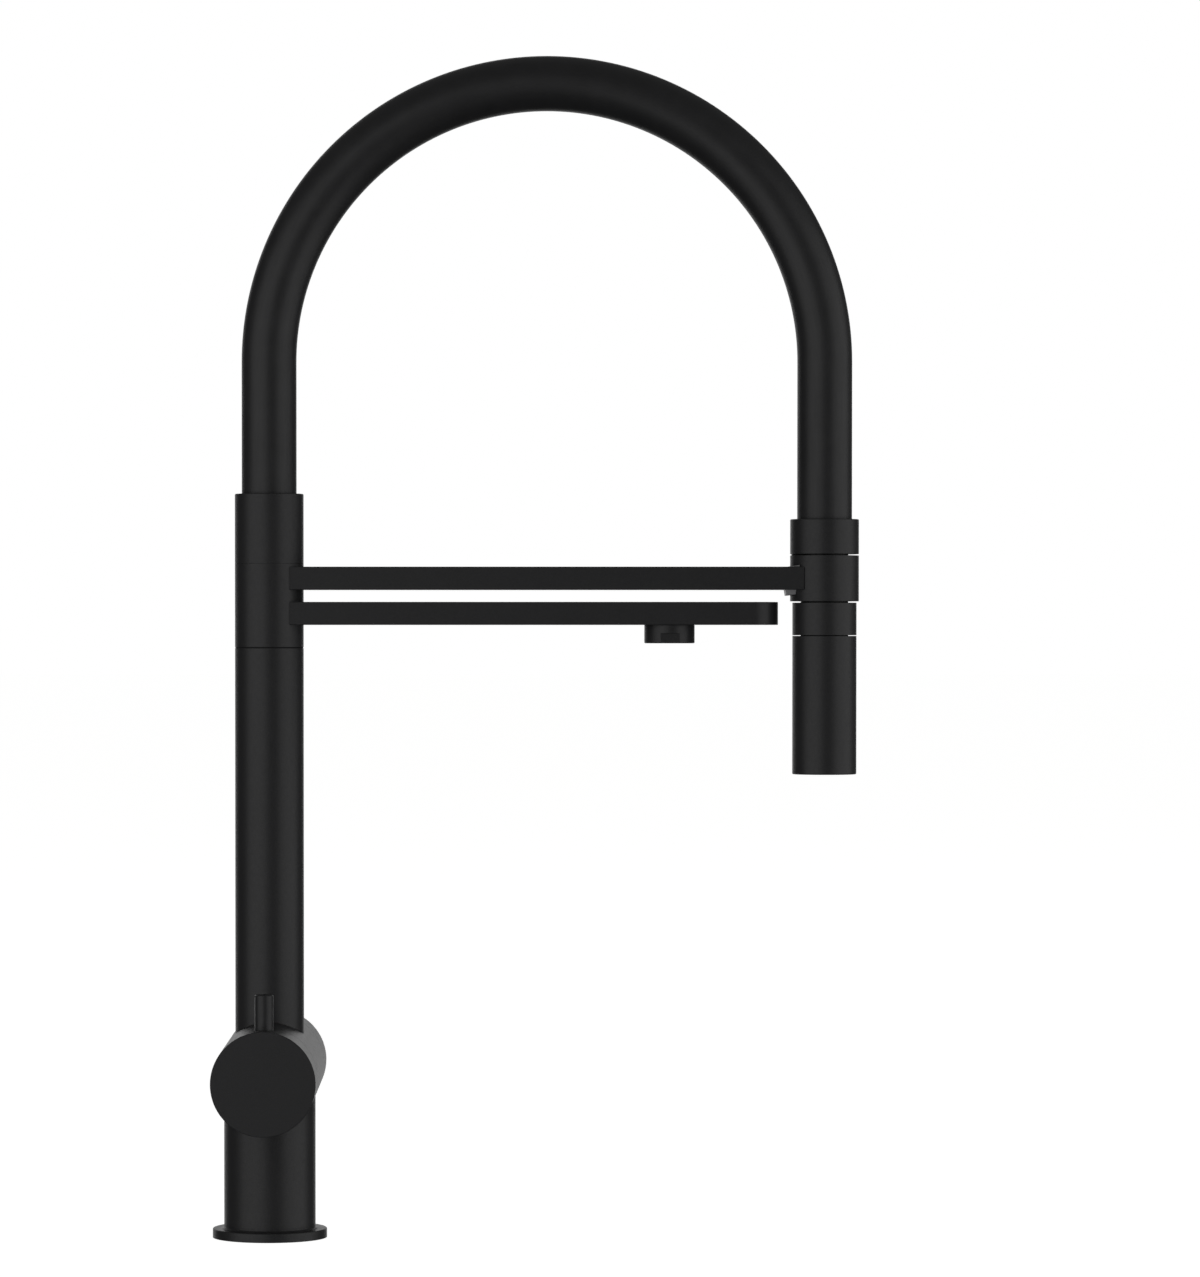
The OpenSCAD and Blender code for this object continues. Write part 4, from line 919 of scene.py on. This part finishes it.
@dataclass
class HoseArch(SubAssembly):
    """The arched hose: a silicone jacket over a wound gooseneck, with the water hose inside."""

    jacket_wall: float = 2 * MM
    liner_wall: float = 2.5 * MM
    # How deep the jacket is plugged into its seats, and the flange that its insides start above
    plug: float = 12 * MM
    flange: float = 3 * MM
    leg_step: float = 5 * MM
    arch_steps: int = 120
    jacket_sides: int = 64
    strip_sides: int = 32
    strip_step: float = 0.8 * MM
    strip_pitch: float = 4.8 * MM
    strip_depth: float = 0.5 * MM
    liner_play: float = 0.5 * MM
    liner_sides: int = 32

    def path(self, inset: float, step: float) -> list[Vector]:
        """Gives the hose's centre line, up from the socket, round the arch and down to the collar.

        Args:
            inset: How far above the bottom of its seats the line starts and ends.
            step: The distance from point to point on the two straight legs.

        Returns:
            The line's points.
        """
        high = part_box("hose_jacket")[1]
        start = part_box("hose_socket")[1].z - self.plug + inset
        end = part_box("hose_collar")[1].z - self.plug + inset
        radius = high.y
        reach = (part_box("spray_head")[0].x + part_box("spray_head")[1].x) / 2
        arch = reach / 2
        spring = high.z - radius - arch
        count = round((spring - start) / step)
        up = [Vector((0, 0, start + (spring - start) * k / count)) for k in range(count)]
        turn = max(self.arch_steps, round(math.pi * arch / step))
        angles = [math.pi * k / turn for k in range(turn)]
        over = [Vector((arch - arch * math.cos(a), 0, spring + arch * math.sin(a))) for a in angles]
        count = round((spring - end) / step)
        down = [Vector((reach, 0, spring + (end - spring) * k / count)) for k in range(count + 1)]
        return up + over + down

    def line(self, name: str, points: list[Vector]) -> bpy.types.Object:
        """Makes a poly curve through the points.

        Args:
            name: The curve's name.
            points: Its points.

        Returns:
            The curve's object.
        """
        curve = bpy.data.curves.new(name, "CURVE")
        curve.dimensions = "3D"
        curve.twist_mode = "MINIMUM"
        spline = curve.splines.new("POLY")
        spline.points.add(len(points) - 1)
        for point, place in zip(spline.points, points):
            point.co = (*place, 1)
        return new_object(name, curve)

    def sweep_tree(self) -> bpy.types.NodeTree:
        """Makes the tree that sweeps a tube along a line, with a groove wound round it.

        Returns:
            The geometry node tree.
        """
        tree, inputs = new_geometry_tree(
            "swept_tube",
            {
                "Radius": "NodeSocketFloat",
                "Sides": "NodeSocketInt",
                "Pitch": "NodeSocketFloat",
                "Depth": "NodeSocketFloat",
                "Material": "NodeSocketMaterial",
            },
        )
        along = add_node(tree, "GeometryNodeSplineParameter")
        path = add_node(
            tree, "GeometryNodeCaptureAttribute", {"Geometry": inputs.outputs["Geometry"]}
        )
        path.capture_items.new("FLOAT", "Along")
        tree.links.new(along.outputs["Length"], path.inputs["Along"])
        round_curve = add_node(
            tree,
            "GeometryNodeCurvePrimitiveCircle",
            {"Resolution": inputs.outputs["Sides"], "Radius": inputs.outputs["Radius"]},
        )
        turn = add_node(tree, "GeometryNodeSplineParameter")
        section = add_node(
            tree, "GeometryNodeCaptureAttribute", {"Geometry": round_curve.outputs[0]}
        )
        section.capture_items.new("FLOAT", "Turn")
        tree.links.new(turn.outputs["Factor"], section.inputs["Turn"])
        tube = add_node(
            tree,
            "GeometryNodeCurveToMesh",
            {"Curve": path.outputs["Geometry"], "Profile Curve": section.outputs["Geometry"]},
        )
        turns = add_node(
            tree,
            "ShaderNodeMath",
            {0: path.outputs["Along"], 1: inputs.outputs["Pitch"]},
            operation="DIVIDE",
        )
        phase = add_node(
            tree,
            "ShaderNodeMath",
            {0: turns.outputs[0], 1: section.outputs["Turn"]},
            operation="SUBTRACT",
        )
        within = add_node(tree, "ShaderNodeMath", {0: phase.outputs[0]}, operation="FRACT")
        crown = add_node(
            tree, "ShaderNodeMath", {0: within.outputs[0], 1: math.pi}, operation="MULTIPLY"
        )
        swell = add_node(tree, "ShaderNodeMath", {0: crown.outputs[0]}, operation="SINE")
        dip = add_node(tree, "ShaderNodeMath", {0: swell.outputs[0], 1: 1.0}, operation="SUBTRACT")
        depth = add_node(
            tree,
            "ShaderNodeMath",
            {0: dip.outputs[0], 1: inputs.outputs["Depth"]},
            operation="MULTIPLY",
        )
        outwards = add_node(tree, "GeometryNodeInputNormal")
        push = add_node(
            tree,
            "ShaderNodeVectorMath",
            {0: outwards.outputs["Normal"], "Scale": depth.outputs[0]},
            operation="SCALE",
        )
        wound = add_node(
            tree,
            "GeometryNodeSetPosition",
            {"Geometry": tube.outputs[0], "Offset": push.outputs[0]},
        )
        smooth = add_node(tree, "GeometryNodeSetShadeSmooth", {"Geometry": wound.outputs[0]})
        end_geometry_tree(tree, smooth.outputs[0], inputs.outputs["Material"])
        return tree

    def unwrap(self, piece: bpy.types.Object, sides: int, points: list[Vector]) -> None:
        """Lays a UV map on a swept tube, in metres round it and along it.

        Args:
            piece: The tube, whose points lie in rings along the line.
            sides: How many points a ring has.
            points: The line's points.
        """
        travelled = [0.0]
        for first, second in zip(points, points[1:]):
            travelled.append(travelled[-1] + (second - first).length)
        width = 2 * math.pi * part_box("hose_jacket")[1].y / sides
        layer = piece.data.uv_layers.new(name="UVMap")
        for face in piece.data.polygons:
            turns = [v % sides for v in face.vertices]
            wraps = max(turns) - min(turns) > sides / 2
            for loop, vertex, turn in zip(face.loop_indices, face.vertices, turns):
                step = sides if wraps and turn == 0 else turn
                layer.data[loop].uv = (step * width, travelled[vertex // sides])

    def tube(
        self,
        name: str,
        points: list[Vector],
        radius: float,
        wall: float,
        sides: int,
        finish: Finish,
        pitch: float = 1.0,
        depth: float = 0.0,
    ) -> bpy.types.Object:
        """Sweeps one tube of the hose and gives it its wall.

        Args:
            name: The piece's name.
            points: Its centre line.
            radius: Its outer radius.
            wall: The thickness of its wall.
            sides: How many points go round it.
            finish: Its surface.
            pitch: The distance from turn to turn of a wound groove.
            depth: The groove's depth, or 0 for a smooth tube.

        Returns:
            The finished piece, on no body.
        """
        swept = self.line(name + "_line", points)
        add_modifier(
            swept,
            bpy.data.node_groups.get("swept_tube") or self.sweep_tree(),
            {
                "Radius": radius,
                "Sides": sides,
                "Pitch": pitch,
                "Depth": depth,
                "Material": finish.material(),
            },
        )
        shell = bake_piece(swept, name + "_shell", None)
        self.unwrap(shell, sides, points)
        solid = shell.modifiers.new("wall", "SOLIDIFY")
        solid.thickness = wall
        solid.offset = -1.0
        return bake_piece(shell, name, None)

    def build(self) -> list[bpy.types.Object]:
        """Makes the jacket, the gooseneck and the water hose, bent between arms and wand.

        Returns:
            The three pieces.
        """
        jacket_line = self.path(0.0, self.leg_step)
        strip_line = self.path(self.flange, self.strip_step)
        liner_line = self.path(self.flange, self.leg_step)
        outer, strip, liner = (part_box(n)[1].y for n in ("hose_jacket", "gooseneck", "inner_hose"))
        strip_wall = strip - liner - self.liner_play
        jacket = self.tube(
            "silicone_jacket", jacket_line, outer, self.jacket_wall, self.jacket_sides, SILICONE
        )
        gooseneck = self.tube(
            "strip_wound_gooseneck",
            strip_line,
            strip,
            strip_wall,
            self.strip_sides,
            SPRING_STEEL,
            self.strip_pitch,
            self.strip_depth,
        )
        water = self.tube(
            "water_hose", liner_line, liner, self.liner_wall, self.liner_sides, HOSE_LINER
        )
        for piece, node, slot in (
            (jacket, "hose_jacket", "silicone"),
            (gooseneck, "gooseneck", "steel"),
            (water, "inner_hose", "grey_plastic"),
        ):
            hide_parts(node)
            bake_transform(piece)
        return [jacket, gooseneck, water]


@dataclass(frozen=True)
class SoftBox:
    """A large rectangular lamp that faces the faucet."""

    name: str
    # In degrees from the front, counted to the right
    azimuth: float
    height: float
    distance: float
    width: float
    tall: float
    radiance: float

    def build(self, aim: Vector) -> None:
        """Hangs the lamp.

        Args:
            aim: The point that it faces.
        """
        light = bpy.data.lights.new(self.name, "AREA")
        light.shape = "RECTANGLE"
        light.size = self.width
        light.size_y = self.tall
        light.energy = self.radiance * math.pi * self.width * self.tall
        lamp = new_object(self.name, light)
        turn = math.radians(self.azimuth)
        across, back = self.distance * math.sin(turn), self.distance * math.cos(turn)
        lamp.location = Vector((aim.x + across, aim.y - back, self.height))
        lamp.rotation_euler = (aim - lamp.location).to_track_quat("-Z", "Y").to_euler()
        lamp.visible_camera = False


@dataclass
class Studio:
    """A white sweep with two large soft boxes, and the camera just below the lower arm's level."""

    # The pinhole camera that fits the edges of the photograph. The centre of its view lies to the
    # left of the picture's and below it, and it looks down by the tilt, in radians
    picture: tuple[int, int] = (1200, 1277)
    centre_px: tuple[float, float] = (507.0, 759.15)
    focal_px: float = 5358.29
    camera_at: Vector = field(default_factory=lambda: Vector((0.10383, -2.34170, 0.26569)))
    tilt: float = 0.0241
    sensor: float = 36.0
    view_range: float = 120.0
    aim: Vector = field(default_factory=lambda: Vector((0.1, 0, 0.27)))
    boxes: tuple[SoftBox, ...] = (
        SoftBox(
            "left_soft_box",
            azimuth=-43.0,
            height=0.3,
            distance=1.8,
            width=2.42,
            tall=2.0,
            radiance=1.2,
        ),
        SoftBox(
            "right_soft_box",
            azimuth=70.5,
            height=0.3,
            distance=2.5,
            width=3.57,
            tall=2.8,
            radiance=1.2,
        ),
    )
    # The world's glow all round, behind the camera and overhead, and where each sets in and is full
    room: float = 0.065
    front_wall: float = 0.15
    front_edge: tuple[float, float] = (-0.3, -1.0)
    ceiling: float = 0.20
    ceiling_edge: tuple[float, float] = (0.3, 0.95)
    # The white backdrop: its turn in degrees, and where it sets in and is full
    backdrop_turn: float = -6.0
    backdrop_edge: tuple[float, float] = (0.80, 0.92)
    floor_size: float = 60.0
    floor_gap: float = 0.1 * MM
    floor_colour: str = "#a6a6a4"
    floor_glow: float = 0.94

    def camera(self) -> None:
        """Sets up the camera that the photograph was taken with."""
        width, height = self.picture
        lens = bpy.data.cameras.new("camera")
        lens.sensor_width = self.sensor
        lens.lens = self.focal_px * self.sensor / max(width, height)
        lens.shift_x = (width / 2 - self.centre_px[0]) / max(width, height)
        lens.shift_y = (self.centre_px[1] - height / 2) / max(width, height)
        lens.clip_end = self.view_range
        made = new_object("camera", lens)
        made.location = self.camera_at
        made.rotation_euler = (math.pi / 2 - self.tilt, 0, 0)
        bpy.context.scene.camera = made

    def world(self) -> None:
        """Makes the dim room with its paler front wall and ceiling, and the white backdrop.

        The camera sees white all over, and a mirror or glass shows white where the backdrop stands.
        """
        made = bpy.data.worlds.new("studio")
        made.use_nodes = True
        tree = made.node_tree
        tree.nodes.clear()
        way = add_node(tree, "ShaderNodeTexCoord").outputs["Generated"]
        turn = math.radians(self.backdrop_turn)
        facing = add_node(
            tree,
            "ShaderNodeVectorMath",
            {0: way, 1: (math.sin(turn), math.cos(turn), 0)},
            operation="DOT_PRODUCT",
        ).outputs["Value"]
        upwards = add_node(tree, "ShaderNodeSeparateXYZ", {0: way}).outputs["Z"]
        behind, above, ahead = (
            add_node(
                tree,
                "ShaderNodeMapRange",
                {
                    "Value": value,
                    "From Min": edge[0],
                    "From Max": edge[1],
                    "To Min": low,
                    "To Max": high,
                },
                interpolation_type="SMOOTHSTEP",
            ).outputs["Result"]
            for value, edge, low, high in (
                (facing, self.backdrop_edge, 0.0, 1.0),
                (upwards, self.ceiling_edge, self.room, self.ceiling),
                (facing, self.front_edge, self.room, self.front_wall),
            )
        )
        ray = add_node(tree, "ShaderNodeLightPath")
        seen = add_node(
            tree,
            "ShaderNodeMath",
            {0: ray.outputs["Is Camera Ray"], 1: ray.outputs["Is Transmission Ray"]},
            operation="MAXIMUM",
        )
        mirrored = add_node(
            tree,
            "ShaderNodeMath",
            {0: ray.outputs["Is Glossy Ray"], 1: behind},
            operation="MULTIPLY",
        )
        white = add_node(
            tree,
            "ShaderNodeMath",
            {0: seen.outputs[0], 1: mirrored.outputs[0]},
            operation="MAXIMUM",
        )
        walls = add_node(tree, "ShaderNodeMath", {0: above, 1: ahead}, operation="MAXIMUM")
        strength = add_node(
            tree, "ShaderNodeMath", {0: white.outputs[0], 1: walls.outputs[0]}, operation="MAXIMUM"
        )
        glow = add_node(
            tree, "ShaderNodeBackground", {"Color": WHITE, "Strength": strength.outputs[0]}
        )
        add_node(tree, "ShaderNodeOutputWorld", {"Surface": glow.outputs[0]})
        bpy.context.scene.world = made

    def floor(self) -> None:
        """Lays the pale floor, white to the camera and still able to take a shadow."""
        half = self.floor_size / 2
        mesh = bpy.data.meshes.new("floor")
        corners = [(-half, -half), (half, -half), (half, half), (-half, half)]
        mesh.from_pydata([(x, y, -self.floor_gap) for x, y in corners], [], [(0, 1, 2, 3)])
        material = bpy.data.materials.new("pale_floor")
        material.use_nodes = True
        tree = material.node_tree
        tree.nodes.clear()
        ray = add_node(tree, "ShaderNodeLightPath")
        strength = add_node(
            tree,
            "ShaderNodeMath",
            {0: ray.outputs["Is Camera Ray"], 1: self.floor_glow},
            operation="MULTIPLY",
        )
        glow = add_node(tree, "ShaderNodeEmission", {"Strength": strength.outputs[0]})
        matt = add_node(tree, "ShaderNodeBsdfDiffuse", {"Color": hex_to_linear(self.floor_colour)})
        both = add_node(tree, "ShaderNodeAddShader", {0: glow.outputs[0], 1: matt.outputs[0]})
        add_node(tree, "ShaderNodeOutputMaterial", {"Surface": both.outputs[0]})
        mesh.materials.append(material)
        made = new_object("floor", mesh)
        made.visible_glossy = made.visible_diffuse = made.visible_shadow = False

    def build(self) -> None:
        """Sets up the camera, the lamps, the world and the floor."""
        bpy.context.scene.view_settings.view_transform = "Standard"
        self.camera()
        self.world()
        self.floor()
        for box in self.boxes:
            box.build(self.aim)
            LOG.info("%s hangs at %.0f degrees", box.name, box.azimuth)


def main() -> None:
    """Dresses and completes each sub-assembly, then sets up the studio."""
    logging.basicConfig(level=logging.INFO, format="%(name)s: %(message)s")
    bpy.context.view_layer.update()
    for assembly in (DeckBase(), Controls(), Riser(), SwivelArms(), HoseArch(), SprayWand()):
        assembly.dress()
        for piece in assembly.build():
            LOG.info("%s is made", piece.name)
    Studio().build()


if __name__ == "__main__":
    main()
